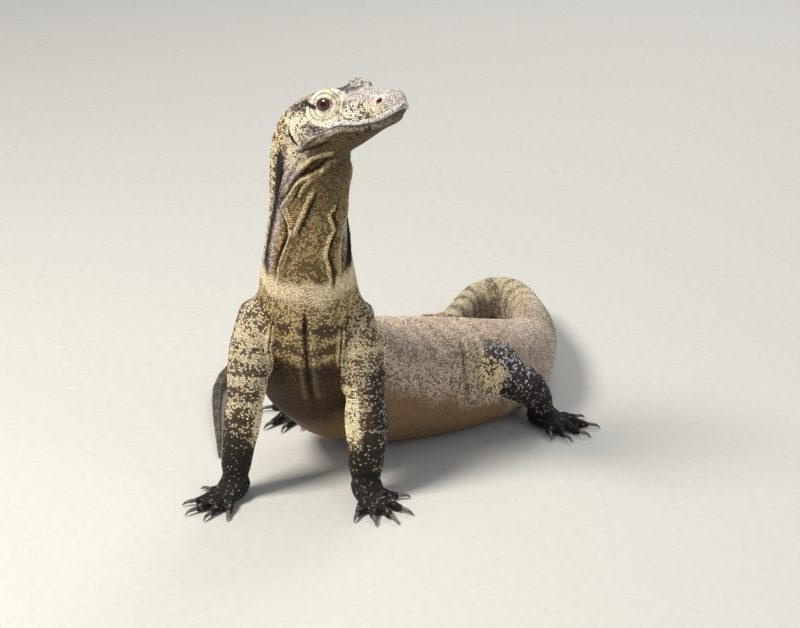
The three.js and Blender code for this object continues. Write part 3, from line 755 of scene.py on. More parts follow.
class Coat:
    """The markings at some places, with painted highlight on fold ridges and painted shade in
    creases: a pale and a dark colour, and the share of dark scales.
    """

    def __init__(self, places, crease):
        self.places = places
        self.owner, _ = nearest_length(places)
        self.way, self.mark, turn = body_line.locate(places)
        self.turn = np.degrees(turn)
        self.around = np.abs(self.turn)
        self.face = face_places(places)
        self.limb_mark = np.full(len(places), -1.0)
        self.limb_turn = np.zeros(len(places))
        self.limb_way = np.zeros(len(places))
        for name, line in limbs.items():
            held = np.flatnonzero(self.of(*limb_parts(name)))
            way, mark, turn = line.locate(places[held])
            self.limb_way[held] = way
            self.limb_mark[held] = mark
            self.limb_turn[held] = np.degrees(turn)
        self.pale = np.tile((0.45, 0.36, 0.27), (len(places), 1))
        self.dark = np.tile((0.16, 0.11, 0.08), (len(places), 1))
        self.share = np.full(len(places), 0.45)
        self.paint_trunk()
        self.paint_tail()
        self.paint_limbs()
        self.paint_head()
        # Painted highlight: fold ridges on the throat turn golden. Painted shade: every fold's furrow
        # darkens.
        throat = (self.around < 70) & (self.mark < 3.9) & (self.face[:, 0] < 36)
        self.paint(0.8 * smooth_step(crease, 0.5, 1.9) * throat, (0.74, 0.60, 0.34), (0.42, 0.32, 0.17), 0.1)
        self.paint(0.85 * smooth_step(-crease, 0.3, 1.5), (0.13, 0.085, 0.04), (0.035, 0.02, 0.01), 0.65)

    def of(self, *parts):
        return of_parts(self.owner, parts)

    def paint(self, weight, pale=None, dark=None, share=None):
        weight = np.clip(weight, 0, 1)
        if pale is not None:
            self.pale += weight[:, None] * (np.array(pale) - self.pale)
        if dark is not None:
            self.dark += weight[:, None] * (np.array(dark) - self.dark)
        if share is not None:
            self.share += weight * (share - self.share)

    def paint_trunk(self):
        mark = self.mark + 0.03 * mottle(self.places, 9)
        around = self.around + 7 * mottle(self.places, 11)
        neck = window(mark, 0.9, 3.0, 0.12)
        front = neck * (1 - smooth_step(around, 52, 64))
        self.paint(front, (0.26, 0.18, 0.078), (0.13, 0.08, 0.03), 0.4)
        self.paint(front * smooth_step(mark, 2.1, 2.6), (0.45, 0.32, 0.155), (0.16, 0.10, 0.04), 0.42)
        self.paint(neck * window(around, 58, 92, 6), (0.57, 0.49, 0.455), (0.33, 0.27, 0.23), 0.45)
        self.paint(neck * smooth_step(around, 86, 98), (0.68, 0.56, 0.345), (0.085, 0.043, 0.019), 0.41)
        stripe_turn = np.interp(self.mark, [1.6, 1.9, 2.2, 2.6, 2.8, 3.15], [98, 88, 81, 80, 74, 60])
        stripe = bump(self.around, stripe_turn, 7) * window(self.mark, 1.5, 3.12, 0.12)
        self.paint(2.5 * stripe, (0.04, 0.022, 0.013), (0.012, 0.006, 0.004), 0.95)
        # Painted shade: more dark scales in the hollow at the foot of the throat
        hollow_painted_shade = window(mark, 2.83, 2.9, 0.03) * (1 - smooth_step(np.abs(self.turn - 10), 18, 30))
        self.paint(hollow_painted_shade, share=0.8)
        blotch = np.hypot((self.mark - 2.97) / 0.035, (self.turn - 17) / 9)
        self.paint(1.2 - blotch, (0.3, 0.22, 0.12), (0.06, 0.03, 0.015), 0.9)
        breast = window(mark, 2.98, 3.16, 0.04) * (1 - smooth_step(around, 85, 110))
        self.paint(breast, (0.80, 0.66, 0.42), (0.42, 0.32, 0.18), 0.05)
        nape = window(mark, 2.85, 3.3, 0.12) * smooth_step(around, 85, 110)
        self.paint(nape, (0.72, 0.59, 0.38), (0.09, 0.05, 0.025), 0.41)
        chest = window(mark, 3.16, 3.78, 0.04)
        self.paint(chest, (0.56, 0.42, 0.20), (0.12, 0.075, 0.03), 0.34)
        self.paint(chest * smooth_step(around, 85, 110), (0.72, 0.59, 0.40), (0.10, 0.06, 0.035), 0.43)
        for band_mark in (3.33, 3.475):
            band = bump(mark, band_mark, 0.036) * (1 - smooth_step(around, 70, 100))
            self.paint(band, dark=(0.07, 0.04, 0.018), share=0.92)
        # The lower chest and the front of the belly are dark brown, darkened further as painted shade
        # underneath
        self.paint(window(mark, 3.56, 3.8, 0.05) * (1 - smooth_step(around, 60, 90)),
                   (0.105, 0.056, 0.014), (0.025, 0.013, 0.004), 0.7)
        trunk = window(mark, 3.8, 5.2, 0.12)
        self.paint(trunk, (0.33, 0.205, 0.10), (0.225, 0.14, 0.068), 0.35)
        self.paint(window(mark, 3.7, 4.05, 0.1) * (1 - smooth_step(around, 60, 90)),
                   (0.072, 0.036, 0.010), (0.042, 0.02, 0.006), 0.45)
        self.paint(trunk * window(around, 77, 112, 11), (1.0, 0.77, 0.57), (0.06, 0.033, 0.021),
                   np.interp(around, [76, 108], [0.47, 0.25]))
        saddle = window(mark, 3.4, 5.2, 0.12) * smooth_step(around, 104, 120)
        self.paint(saddle, (0.74, 0.60, 0.42), (0.11, 0.066, 0.04), 0.42)
        rows = smooth_step(np.sin(2 * pi * (self.mark * 7.5 + 0.1 * mottle(self.places, 8))), 0, 0.8)
        self.paint(saddle * smooth_step(mark, 3.6, 4.4), (0.95, 0.76, 0.57), (0.19, 0.115, 0.08),
                   0.34 + 0.16 * rows)
        hip = window(mark, 5.2, 6.3, 0.15)
        self.paint(hip, (0.44, 0.34, 0.25), (0.2, 0.14, 0.1), 0.35)
        self.paint(hip * smooth_step(around, 55, 80), (0.80, 0.67, 0.54), (0.27, 0.19, 0.13), 0.38)

    def paint_tail(self):
        mark = self.mark
        tail = smooth_step(mark, 6.1, 6.5)
        self.paint(tail, (0.66, 0.55, 0.42), (0.19, 0.14, 0.10), 0.38)
        under = tail * (1 - smooth_step(self.around, 40, 65))
        self.paint(under, (0.58, 0.49, 0.34), (0.3, 0.23, 0.16), 0.25)
        crest = smooth_step(self.around, 112, 140) * smooth_step(mark, 6.5, 7.2)
        self.paint(crest, (0.80, 0.69, 0.47), (0.36, 0.29, 0.19), 0.3)
        bars = np.sin(2 * pi * (mark * 5.2 + 0.12 * mottle(self.places, 8)))
        bars = smooth_step(bars, 0.1, 0.7) * smooth_step(mark, 6.3, 7.6)
        self.paint(0.75 * bars, dark=(0.10, 0.075, 0.055), share=0.85)
        self.paint(0.8 * smooth_step(mark, 9.2, 10.3), (0.16, 0.13, 0.10), (0.02, 0.015, 0.012), 0.8)

    def paint_limbs(self):
        mark = self.limb_mark + 0.05 * mottle(self.places, 7)
        for side, sign in (("r", 1), ("l", -1)):
            arm = self.of(*limb_parts(f"arm_{side}")) * 1.0
            inward = sign * self.limb_turn
            bands = 0.2 * np.sin(2 * pi * (mark * 3.4 + 0.3)) * (1 - smooth_step(mark, 1.2, 1.6))
            share = np.interp(mark, [0, 0.6, 1.0, 1.25, 1.6, 2.1], [0.22, 0.42, 0.5, 0.76, 0.92, 0.95])
            pale = (0.72, 0.61, 0.41) if side == "r" else (0.54, 0.44, 0.28)
            self.paint(arm, pale, (0.075, 0.045, 0.025), share + bands)
            self.paint(arm * smooth_step(mark, 1.05, 1.6), (0.34, 0.27, 0.16), (0.010, 0.007, 0.004))
            if side == "l":
                outer, olive_from = smooth_step(-inward, 0, 40) * smooth_step(mark, 0.25, 0.7), 12
            else:
                outer, olive_from = smooth_step(-inward, 60, 100), 35
            outer = arm * outer * (1 - smooth_step(mark, 1.8, 2))
            self.paint(outer, (0.36, 0.30, 0.22), (0.02, 0.014, 0.01), 0.78)
            olive = arm * window(mark, 0.7, 1.5, 0.12) * window(inward, olive_from, 150, 12)
            self.paint(olive, (0.88, 0.75, 0.49), (0.15, 0.10, 0.05), 0.22 + 0.8 * bands)
            leg = self.of(*limb_parts(f"leg_{side}")) * 1.0
            self.paint(leg, (0.55, 0.43, 0.30), (0.06, 0.036, 0.02), 0.5)
            self.paint(leg * smooth_step(mark, 0.8, 1.0), (0.36, 0.31, 0.28), (0.016, 0.013, 0.01), 0.84)
        hands = self.of("hand", "foot") * 1.0
        self.paint(hands, (0.25, 0.22, 0.18), (0.009, 0.007, 0.006), 0.92)
        thigh = near_segment(self.places / MM, (53, -53, 55), (67, -53, 45), 15)
        self.paint(thigh * ~self.of("hand", "foot", "shin"), (0.94, 0.74, 0.47), (0.075, 0.043, 0.024), 0.36)
        knee = near_segment(self.places / MM, (67, -40, 63), (85, -46, 47), 12)
        self.paint(knee * ~self.of("foot"), (0.72, 0.68, 0.66), (0.035, 0.03, 0.028), 0.72)

    def paint_head(self):
        face = self.face
        ahead, aside, above = face.T
        over = over_mouth(face)
        head = smooth_step(ahead + 0.15 * above, -5, 2) * (np.linalg.norm(face, axis=1) < 100)
        upper = head * smooth_step(over, -0.6, 0)
        self.paint(upper, (0.78, 0.70, 0.53), (0.22, 0.16, 0.10), 0.2)
        crown = upper * (1 - smooth_step(aside, 6.5, 10)) * smooth_step(above, 9, 13)
        self.paint(crown, (0.23, 0.2, 0.2), (0.04, 0.035, 0.034), 0.64)
        self.paint(upper * smooth_step(-ahead, -12, -2) * smooth_step(above, 12, 16), (0.6, 0.52, 0.4),
                   (0.10, 0.07, 0.05), 0.5)
        self.paint(1.4 * (near(face, (14, 15.5, 16.5), 4.5) + near(face, (6, 14.5, 17.5), 5)),
                   (0.34, 0.30, 0.26), (0.03, 0.025, 0.02), 0.8)
        self.paint(1.6 * (near(face, (5, 20, 9), 5) + near(face, (12.5, 20, 6.5), 4.5)),
                   (0.93, 0.84, 0.62), (0.08, 0.055, 0.03), 0.22)
        self.paint(1.4 * (near(face, (19, 20, 2), 4.5) + near(face, (26, 18.5, 1.8), 3)),
                   (0.43, 0.365, 0.35), (0.075, 0.058, 0.054), 0.57)
        self.paint(1.3 * near(face, (12, 20.5, 1), 4.5), share=0.42)
        self.paint(1.4 * near(face, (-4, 20, -8.5), 6), (0.80, 0.69, 0.47), (0.11, 0.07, 0.04), 0.25)
        self.paint(1.3 * near(face, (29, 18, 5.5), 3.6), (0.82, 0.76, 0.68), (0.5, 0.43, 0.38), 0.08)
        self.paint(1.3 * near(face, (47, 12, 7), 6.5), (0.88, 0.82, 0.70), (0.07, 0.052, 0.04), 0.2)
        for spot, size in (((53.5, 11, 7.5), 3), ((47.5, 12, 8.8), 2.8), ((41.5, 13.3, 10), 2.2),
                           ((56, 11.2, 2.2), 3.2), ((50, 12.3, 1.8), 3)):
            self.paint(1.3 * near(face, spot, size), dark=(0.05, 0.04, 0.03), share=0.5)
        top = upper * smooth_step(ahead, 38, 45) * smooth_step(above + 0.16 * ahead, 18.2, 20.5)
        self.paint(top, (0.68, 0.63, 0.60), (0.31, 0.26, 0.24), 0.42)
        self.paint(upper * smooth_step(ahead, 70, 75), (0.69, 0.62, 0.58), (0.46, 0.40, 0.37), 0.3)
        lip = head * window(over, 0, 3.0, 0.5) * smooth_step(ahead, 24, 34)
        self.paint(0.85 * lip, (0.92, 0.89, 0.87), (0.44, 0.39, 0.36))
        self.paint(0.75 * lip, share=0.14)
        self.paint(1.5 * near(face, NOSTRIL, 3.4), (0.88, 0.82, 0.77), (0.6, 0.5, 0.45), 0.06)
        # The lower jaw is olive-brown, darkened further as painted shade under the head
        jaw = head * smooth_step(-over, 0.1, 0.8)
        self.paint(jaw * smooth_step(ahead, 2, 12), (0.15, 0.103, 0.04), (0.068, 0.044, 0.016), 0.42)
        self.paint(jaw * window(-over, 0.2, 3.4, 0.9) * window(ahead, 14, 70, 8), (0.42, 0.345, 0.265),
                   (0.17, 0.13, 0.095), 0.35)
        for spot in ((54, 8.4, -5.8), (50.5, 9.3, -6.6), (44, 10.5, -8), (38, 11, -9.5)):
            self.paint(1.6 * near(face, spot, 1.6), dark=(0.03, 0.02, 0.012), share=1.0)
        # Painted highlight along the cheek's ridge from the ear to the mouth's corner
        cheek_ridge_highlight = near_segment(face, (2.5, 21.4, -5.2), (16, 20.3, -1.7), 1.5)
        cheek_ridge_highlight = np.maximum(cheek_ridge_highlight, near_segment(face, (16, 20.3, -1.7), (29, 17.5, -0.9), 1.4))
        self.paint(cheek_ridge_highlight, (0.74, 0.68, 0.61), (0.4, 0.34, 0.3), 0.15)
        _, openings = round_eye(face)
        brow = near(face, (29.5, 13, 20.5), 5) + near(face, (36.5, 12, 17.5), 4)
        brow = 1.5 * (brow + near(face, (21.5, 13.5, 18.5), 4)) * smooth_step(aside, 9, 11.5)
        dome = np.maximum(1 - smooth_step(openings, 1.9, 2.5), brow)
        self.paint(dome, (0.93, 0.89, 0.72), (0.60, 0.53, 0.40), 0.08)
        left_brow = near(face, (34, 10.5, 22.5), 6) * smooth_step(to_head(self.places)[:, 1], 0, 4)
        self.paint(1.4 * left_brow, (0.66, 0.62, 0.60), (0.10, 0.09, 0.09), 0.42)
        # Painted shade in the two furrows of the lids
        self.paint(0.85 * lid_furrows(face), (0.40, 0.30, 0.21), (0.26, 0.18, 0.13), 0.3)
        # Painted shadow of the upper lid along the top of the eye's opening
        upper_lid_shadow = window(openings, 1.05, 1.28, 0.06) * smooth_step(above + 0.1 * ahead, 16.6, 18.2)
        self.paint(0.85 * upper_lid_shadow, (0.24, 0.15, 0.11), (0.16, 0.1, 0.07), 0.4)
        self.paint(1 - smooth_step(openings, 1.04, 1.14), (0.16, 0.09, 0.07), (0.12, 0.06, 0.05), 0.4)
        for corner in ((33.4, 14.2, 13.2), (22.3, 15.9, 13.4)):
            self.paint(near(face, corner, 1.3), (0.58, 0.38, 0.31), (0.4, 0.24, 0.19), 0.3)
        # Painted shade in the crease under the lower lid's front
        self.paint(1.3 * near(face, (37.3, 14.7, 8.2), 1.7), (0.40, 0.30, 0.22), (0.22, 0.15, 0.11), 0.4)
        # Painted shade in the notch behind the eye
        notch_shade = near_segment(face, (20.5, 16.3, 14.4), (12.4, 14.5, 18.4), 1.5)
        self.paint(notch_shade, (0.14, 0.11, 0.09), (0.03, 0.025, 0.02), 0.8)
        # Painted shade in the crease before the eye
        self.paint(near_segment(face, (34, 14.2, 12.8), (39.2, 12.7, 12.4), 0.55), (0.25, 0.18, 0.13),
                   (0.14, 0.1, 0.07), 0.5)
        openings = round_nostril(face)
        self.paint(1 - smooth_step(openings, 0.95, 1.25), (0.50, 0.20, 0.16), (0.42, 0.14, 0.11), 0.4)
        self.paint(1 - smooth_step(openings, 0.5, 0.95), (0.17, 0.035, 0.03), (0.1, 0.02, 0.02), 0.4)
        openings, before, down = round_ear(face)
        rim = bump(before, 2.3, 1) * (np.abs(down) < EAR_OPENING[1] + 1) * (openings < FAR)
        self.paint(1.2 * rim, (0.90, 0.84, 0.66), (0.5, 0.42, 0.3), 0.08)
        self.paint(1 - smooth_step(openings, 0.95, 1.3), (0.035, 0.022, 0.016), (0.02, 0.012, 0.01), 0.5)
        shut = head * bump(over, 0, 0.4) * smooth_step(ahead, 12, 16)
        self.paint(shut, (0.12, 0.07, 0.055), (0.07, 0.04, 0.03), 0.5)

    def hide(self):
        """The colour of the skin between scales."""
        lighter = (1 - self.share[:, None]).clip(0, 1) ** 1.7
        between = self.dark + lighter * (self.pale - self.dark)
        return between * (0.6 + 0.1 * mottle(self.places, 2)[:, None])

    def speckled(self):
        """A colour for each scale, which is either a pale one or a dark one."""
        share = self.share
        rows = np.column_stack([self.limb_way * 1.6, np.radians(self.limb_turn) * 5 * MM, self.limb_way * 0])
        rows = np.where(self.limb_mark[:, None] > 0, rows, self.places)
        clumps = np.where((self.limb_mark < 0) & (self.mark > 3.7), 1.1, 1.7)
        clumped = share + clumps * share * (1 - share) * mottle(rows, 2.6)
        dark = smooth_step(clumped - DICE.random(len(share)), -0.1, 0.1)[:, None]
        tone = 1 + 0.13 * DICE.normal(size=(len(share), 1)).clip(-2, 2)
        return (self.pale + dark * (self.dark - self.pale)) * tone


# Lays the colours, markings together with painted highlight and shade, on the mesh's points
def lay_markings_with_painted_shade(piece, colours):
    opaque = np.column_stack([np.clip(colours, 0, 1), np.ones(len(colours))])
    layer = piece.data.color_attributes.new("markings_with_painted_shade", "FLOAT_COLOR", "POINT")
    layer.data.foreach_set("color", opaque.astype(np.float32).ravel())


skin_places = places_of(skin.data)
crease = np.zeros(len(skin_places))
for path, profile in folds:
    some, rise = fold_height(skin_places, outward(skin), path, profile)
    crease[some] += rise
skin_coat = Coat(skin_places, crease)
lay_markings_with_painted_shade(skin, skin_coat.hide())


class Finish:
    """A material under the hand: nodes are added and joined by name."""

    def __init__(self, title):
        self.material = bpy.data.materials.new(title)
        self.material.use_nodes = True
        self.tree = self.material.node_tree
        self.shader = self.tree.nodes["Principled BSDF"]
        self.place = self.add("ShaderNodeTexCoord").outputs["Object"]

    def add(self, kind, settings=None, **inputs):
        node = self.tree.nodes.new(kind)
        for name, value in (settings or {}).items():
            setattr(node, name, value)
        for name, value in inputs.items():
            self.join(node, name.replace("_", " "), value)
        return node

    def join(self, node, name, value):
        socket = node.inputs[int(name[5:])] if name.startswith("Input") else node.inputs[name]
        if isinstance(value, bpy.types.NodeSocket):
            self.tree.links.new(value, socket)
        else:
            socket.default_value = value

    def noise(self, place, scale, detail, roughness=0.5, distortion=0.0):
        return self.add("ShaderNodeTexNoise", Vector=place, Scale=scale, Detail=detail,
                        Roughness=roughness, Distortion=distortion).outputs["Fac"]

    def span(self, value, low, high, start=0.3, end=0.7):
        """Turns a value between start and end into one between low and high."""
        return self.add("ShaderNodeMapRange", Value=value, From_Min=start, From_Max=end, To_Min=low,
                        To_Max=high).outputs["Result"]

    def sum_of(self, value, share, other):
        return self.add("ShaderNodeMath", {"operation": "MULTIPLY_ADD"}, Input0=value, Input1=share,
                        Input2=other).outputs[0]

    def relief(self, height, strength, depth):
        return self.add("ShaderNodeBump", Height=height, Strength=strength, Distance=depth).outputs["Normal"]

    def colours(self, value, *stops):
        """Picks a colour by a value, from stops that are each a value and a colour."""
        ramp = self.add("ShaderNodeValToRGB", Fac=value)
        elements = ramp.color_ramp.elements
        for number, (spot, colour) in enumerate(stops):
            stop = elements.new(spot) if number else elements[0]
            stop.position = spot
            stop.color = (*colour, 1)
        elements.remove(elements[-1])
        return ramp.outputs["Color"]

    def finish(self, **inputs):
        for name, value in inputs.items():
            self.join(self.shader, name.replace("_", " "), value)
        return self.material


def scaly_finish(title, grain, strength, dull, shine):
    """Marked hide or horn: colour from the markings with their painted highlight and shade, broken by fine
    noise, with a fine relief.
    """
    finish = Finish(title)
    marks = finish.add("ShaderNodeAttribute", {"attribute_name": "markings_with_painted_shade"}).outputs["Color"]
    dirt = finish.noise(finish.place, grain, 5.0, 0.65)
    mixed = finish.add("ShaderNodeVectorMath", {"operation": "SCALE"}, Vector=marks,
                       Scale=finish.span(dirt, 0.78, 1.18))
    creases = finish.add("ShaderNodeTexVoronoi", {"feature": "DISTANCE_TO_EDGE"}, Vector=finish.place,
                         Scale=grain * 1.6)
    height = finish.sum_of(finish.noise(finish.place, grain * 4, 3.0), 0.5, creases.outputs["Distance"])
    return finish.finish(Base_Color=mixed.outputs["Vector"], Roughness=finish.span(dirt, shine, dull),
                         Normal=finish.relief(height, strength, 0.2 * MM), Specular_IOR_Level=0.3)


skin.data.materials.append(scaly_finish("loose_hide", 700.0, 0.5, dull=0.78, shine=0.55))

# ---------------------------------------------------------------------------------------------
# Scales. Small beads of horn stand side by side on the hide and never overlap. They lie in rows
# that start round the eyes, nostrils, ears and lips and run round the body to tail and toes.
# ---------------------------------------------------------------------------------------------
# Millimetres from row to row on each part
ROW = {
    "head": 1.1, "lower_jaw": 1.15, "eye": 0.9, "neck": 1.42, "chest": 1.27, "belly": 1.13, "pelvis": 1.13,
    "tail": 1.2, "upper_arm": 1.33, "forearm": 1.33, "thigh": 1.42, "shin": 1.42, "hand": 1.22, "foot": 1.25,
}
PLATE_PARTS = ("belly", "pelvis", "tail", "chest")
LID_EDGE = 2.2
LID_ROW = 0.75
ROW_WIDTH = 1.06
FIRST_ROW = 0.5

_, lid = round_eye(skin_coat.face)
row_gap = np.where(lid < LID_EDGE, LID_ROW, by_length(ROW)[skin_coat.owner])
skin_edges = edges_of(skin)
row_gap = relaxed(row_gap[:, None], skin_edges, HALF, 12)[:, 0] * MM


def openings_of(face):
    """How far outside the eye, nostril, ear and mouth openings each place is; below 1 is inside."""
    _, eye = round_eye(face)
    ear, _, _ = round_ear(face)
    mouth = np.where(face[:, 0] > 14, np.abs(over_mouth(face)) / 0.3, FAR)
    mouth = np.where(np.linalg.norm(face, axis=1) < 85, mouth, FAR)
    return np.minimum.reduce([eye / 1.06, round_nostril(face) / 1.15, ear / 1.15, mouth])


def rows_from(places, triangles, gap, starts):
    """Counts rows of scales outwards over the skin from the starts, at each place's own gap, like a
    wave that crosses each triangle from its two earlier corners to the third."""
    count = np.full(len(places), np.inf)
    count[starts] = FIRST_ROW
    corners = places[triangles]
    rings = [[] for _ in places]
    for turn in range(3):
        to_b = corners[:, (turn + 1) % 3] - corners[:, turn]
        to_c = corners[:, (turn + 2) % 3] - corners[:, turn]
        bb, cc, bc = (to_b ** 2).sum(1), (to_c ** 2).sum(1), (to_b * to_c).sum(1)
        det = np.maximum(bb * cc - bc * bc, 1e-20)
        rows = zip(triangles[:, turn].tolist(), triangles[:, (turn + 1) % 3].tolist(),
                   triangles[:, (turn + 2) % 3].tolist(), (cc / det).tolist(), (bb / det).tolist(),
                   (-bc / det).tolist(), np.sqrt(bb).tolist(), np.sqrt(cc).tolist())
        for at, *rest in rows:
            rings[at].append(rest)
    neighbours = [[] for _ in places]
    for a, b in edges_of(skin).tolist():
        neighbours[a].append(b)
        neighbours[b].append(a)
    count = count.tolist()
    slow = (1 / gap).tolist()
    done = [False] * len(count)
    heap = [(FIRST_ROW, int(start)) for start in starts]
    while heap:
        _, spot = heapq.heappop(heap)
        if done[spot]:
            continue
        done[spot] = True
        for at in neighbours[spot]:
            if done[at]:
                continue
            best = count[at]
            cost = slow[at]
            for b, c, qb, qc, q, long_b, long_c in rings[at]:
                if b != spot and c != spot:
                    continue
                tb, tc = count[b], count[c]
                best = min(best, tb + long_b * cost, tc + long_c * cost)
                if not (done[b] and done[c]):
                    continue
                whole = qb + qc + 2 * q
                half = (qb + q) * tb + (qc + q) * tc
                rest = qb * tb * tb + qc * tc * tc + 2 * q * tb * tc - cost * cost
                inside = half * half - whole * rest
                if inside > 0:
                    t = (half + inside ** 0.5) / whole
                    if qb * (tb - t) + q * (tc - t) < 0 and q * (tb - t) + qc * (tc - t) < 0:
                        best = min(best, t)
            if best < count[at]:
                count[at] = best
                heapq.heappush(heap, (best, at))
    return np.array(count)


skin_triangles = triangles_of(skin.data)
skin_places = places_of(skin.data)
starts = np.flatnonzero(openings_of(skin_coat.face) < 1)
row_count = rows_from(skin_places, skin_triangles, row_gap, starts)
row_count[~np.isfinite(row_count)] = 0
row_count = relaxed(row_count[:, None], skin_edges, HALF, 4)[:, 0]
skin_normals = relaxed(outward(skin), skin_edges, HALF, 1)
a, b = skin_edges.T
span = skin_places[b] - skin_places[a]
climb = span * ((row_count[b] - row_count[a]) / (span ** 2).sum(axis=1))[:, None]
size = len(row_count)
lie = np.stack([np.bincount(a, part, size) + np.bincount(b, part, size) for part in climb.T], axis=1)
lie = relaxed(lie, skin_edges, HALF, 3)
middle_key = np.where(skin_coat.limb_mark > 0, np.abs(skin_coat.limb_turn), skin_coat.around)


# What is known of each scale's root: place, normal and lie, and in these columns the gap between
# rows, the stretch along its row (at first the key by which rows start) and the crease it lies in
GAP, STRETCH, CREASE = 9, 10, 11
MOST_ROWS = 4096


def scale_roots():
    """Where each scale grows: even steps along the rows, staggered from row to row."""
    heights = row_count[skin_triangles]
    low = np.ceil(heights.min(axis=1)).astype(int)
    high = np.ceil(heights.max(axis=1)).astype(int) - 1
    crossings = np.maximum(high - low + 1, 0)
    face = np.repeat(np.arange(len(low)), crossings)
    level = low[face] + np.arange(len(face)) - np.repeat(np.cumsum(crossings) - crossings, crossings)
    ends, keys = [], []
    for one, two in ((0, 1), (1, 2), (2, 0)):
        p, q = skin_triangles[face, one], skin_triangles[face, two]
        crossed = (row_count[p] < level) != (row_count[q] < level)
        number = np.flatnonzero(crossed)
        p, q = np.minimum(p, q)[number], np.maximum(p, q)[number]
        ends.append(number)
        keys.append((p * size + q) * MOST_ROWS + level[number])
    ends, keys = np.concatenate(ends), np.concatenate(keys)
    order = np.argsort(ends, kind="stable")
    keys = keys[order]
    spots, index = np.unique(keys, return_inverse=True)
    pairs = index.reshape(-1, 2)
    crossed_edge, rank = spots // MOST_ROWS, spots % MOST_ROWS
    p, q = crossed_edge // size, crossed_edge % size
    t = ((rank - row_count[p]) / (row_count[q] - row_count[p]))[:, None]
    known = np.column_stack([skin_places, skin_normals, lie, row_gap, middle_key, crease])
    known = known[p] * (1 - t) + known[q] * t
    links = [[] for _ in spots]
    for one, two in pairs.tolist():
        links[one].append(two)
        links[two].append(one)
    used = bytearray(len(spots))
    found = []
    for first in range(len(spots)):
        if used[first]:
            continue
        loop = [first]
        used[first] = 1
        while True:
            following = next((n for n in links[loop[-1]] if not used[n]), None)
            if following is None:
                break
            used[following] = 1
            loop.append(following)
        if len(loop) < 6:
            continue
        loop = np.array(loop)
        loop = np.roll(loop, -known[loop, STRETCH].argmin())
        loop = np.append(loop, loop[0])
        row = known[loop]
        steps = np.linalg.norm(np.diff(row[:, :3], axis=0), axis=1)
        steps = steps / (ROW_WIDTH * (row[1:, GAP] + row[:-1, GAP]) / 2)
        along = np.append(0, np.cumsum(steps))
        total = max(int(round(along[-1])), 1)
        at = (np.arange(total) + 0.5 * (rank[loop[0]] % 2)) * along[-1] / total
        sites = np.column_stack([np.interp(at, along, column) for column in row.T])
        sites[:, STRETCH] = along[-1] / total
        found.append(sites)
    return np.concatenate(found)


roots = scale_roots()
roots = roots[openings_of(face_places(roots[:, :3])) > 1.02]
# Distances to the next scale, in gaps between rows, that are too close and too far
CROWDED = 0.66
BARE = 0.82


def tree_over(roots):
    tree = KDTree(len(roots))
    for number, root in enumerate(roots):
        tree.insert(root[:3], number)
    tree.balance()
    return tree


def thinned(roots):
    """Drops each root that crowds an earlier one."""
    tree = tree_over(roots)
    kept = np.ones(len(roots), bool)
    for number, root in enumerate(roots):
        if kept[number]:
            for _, other, _ in tree.find_range(root[:3], CROWDED * root[GAP]):
                if other > number:
                    kept[other] = False
    return roots[kept]


# Where rows meet, bare spots are filled with odd scales
roots = thinned(roots)
tree = tree_over(roots)
spare = np.column_stack([skin_places, skin_normals, lie, row_gap, np.ones(len(row_gap)), crease])
spare = spare[openings_of(skin_coat.face) > 1.1]
bare = [tree.find(spot[:3])[2] > BARE * spot[GAP] for spot in spare]
roots = thinned(np.vstack([roots, spare[bare]]))
coat = Coat(roots[:, :3], roots[:, CREASE])


def bead_pattern(sides):
    """Half a ball, open where it sits in the hide: its points and its faces."""
    bpy.ops.mesh.primitive_uv_sphere_add(segments=sides, ring_count=4, radius=1)
    bead = bpy.context.object
    change_mesh(bead, bpy.ops.mesh.bisect, plane_co=(0, 0, 0), plane_no=(0, 0, 1), clear_inner=True)
    points = places_of(bead.data)
    faces = [list(face.vertices) for face in bead.data.polygons]
    bpy.data.objects.remove(bead)
    return points, faces


# Full beads, six-sided plates, and plain grains where scales are many and far from the eye
BEAD = bead_pattern(8)
PLATE = bead_pattern(6)
bpy.ops.mesh.primitive_cone_add(vertices=8, radius1=1, depth=1, end_fill_type="NOTHING")
grain = bpy.context.object
GRAIN = places_of(grain.data) + (0, 0, 0.5), [list(face.vertices) for face in grain.data.polygons]
bpy.data.objects.remove(grain)

# Cells across the map, half a scale's patch in it, and how many cells off a scale's patch may be
CELLS = 300
PATCH = 0.0014
REACH = 20
around_cell = [(i, j) for i in range(-REACH, REACH + 1) for j in range(-REACH, REACH + 1)]
around_cell.sort(key=lambda step: step[0] ** 2 + step[1] ** 2)


def patch_middles(way, turn):
    """A cell of the map for each scale, the nearest free one to its place on the hide."""
    wide = np.column_stack([way.argsort().argsort(), turn])
    wide = (wide - wide.min(axis=0)) / np.maximum(np.ptp(wide, axis=0), 1e-9)
    cells = {}
    for u, v in np.minimum((wide * CELLS).astype(int), CELLS - 1).tolist():
        cell = next((u + i, v + j) for i, j in around_cell if (u + i, v + j) not in cells
                    and 0 <= u + i < CELLS and 0 <= v + j < CELLS)
        cells[cell] = True
    return (np.array(list(cells)) + 0.5) / CELLS


# How deep the rim of a scale sits in the hide
SINK = 0.14 * MM


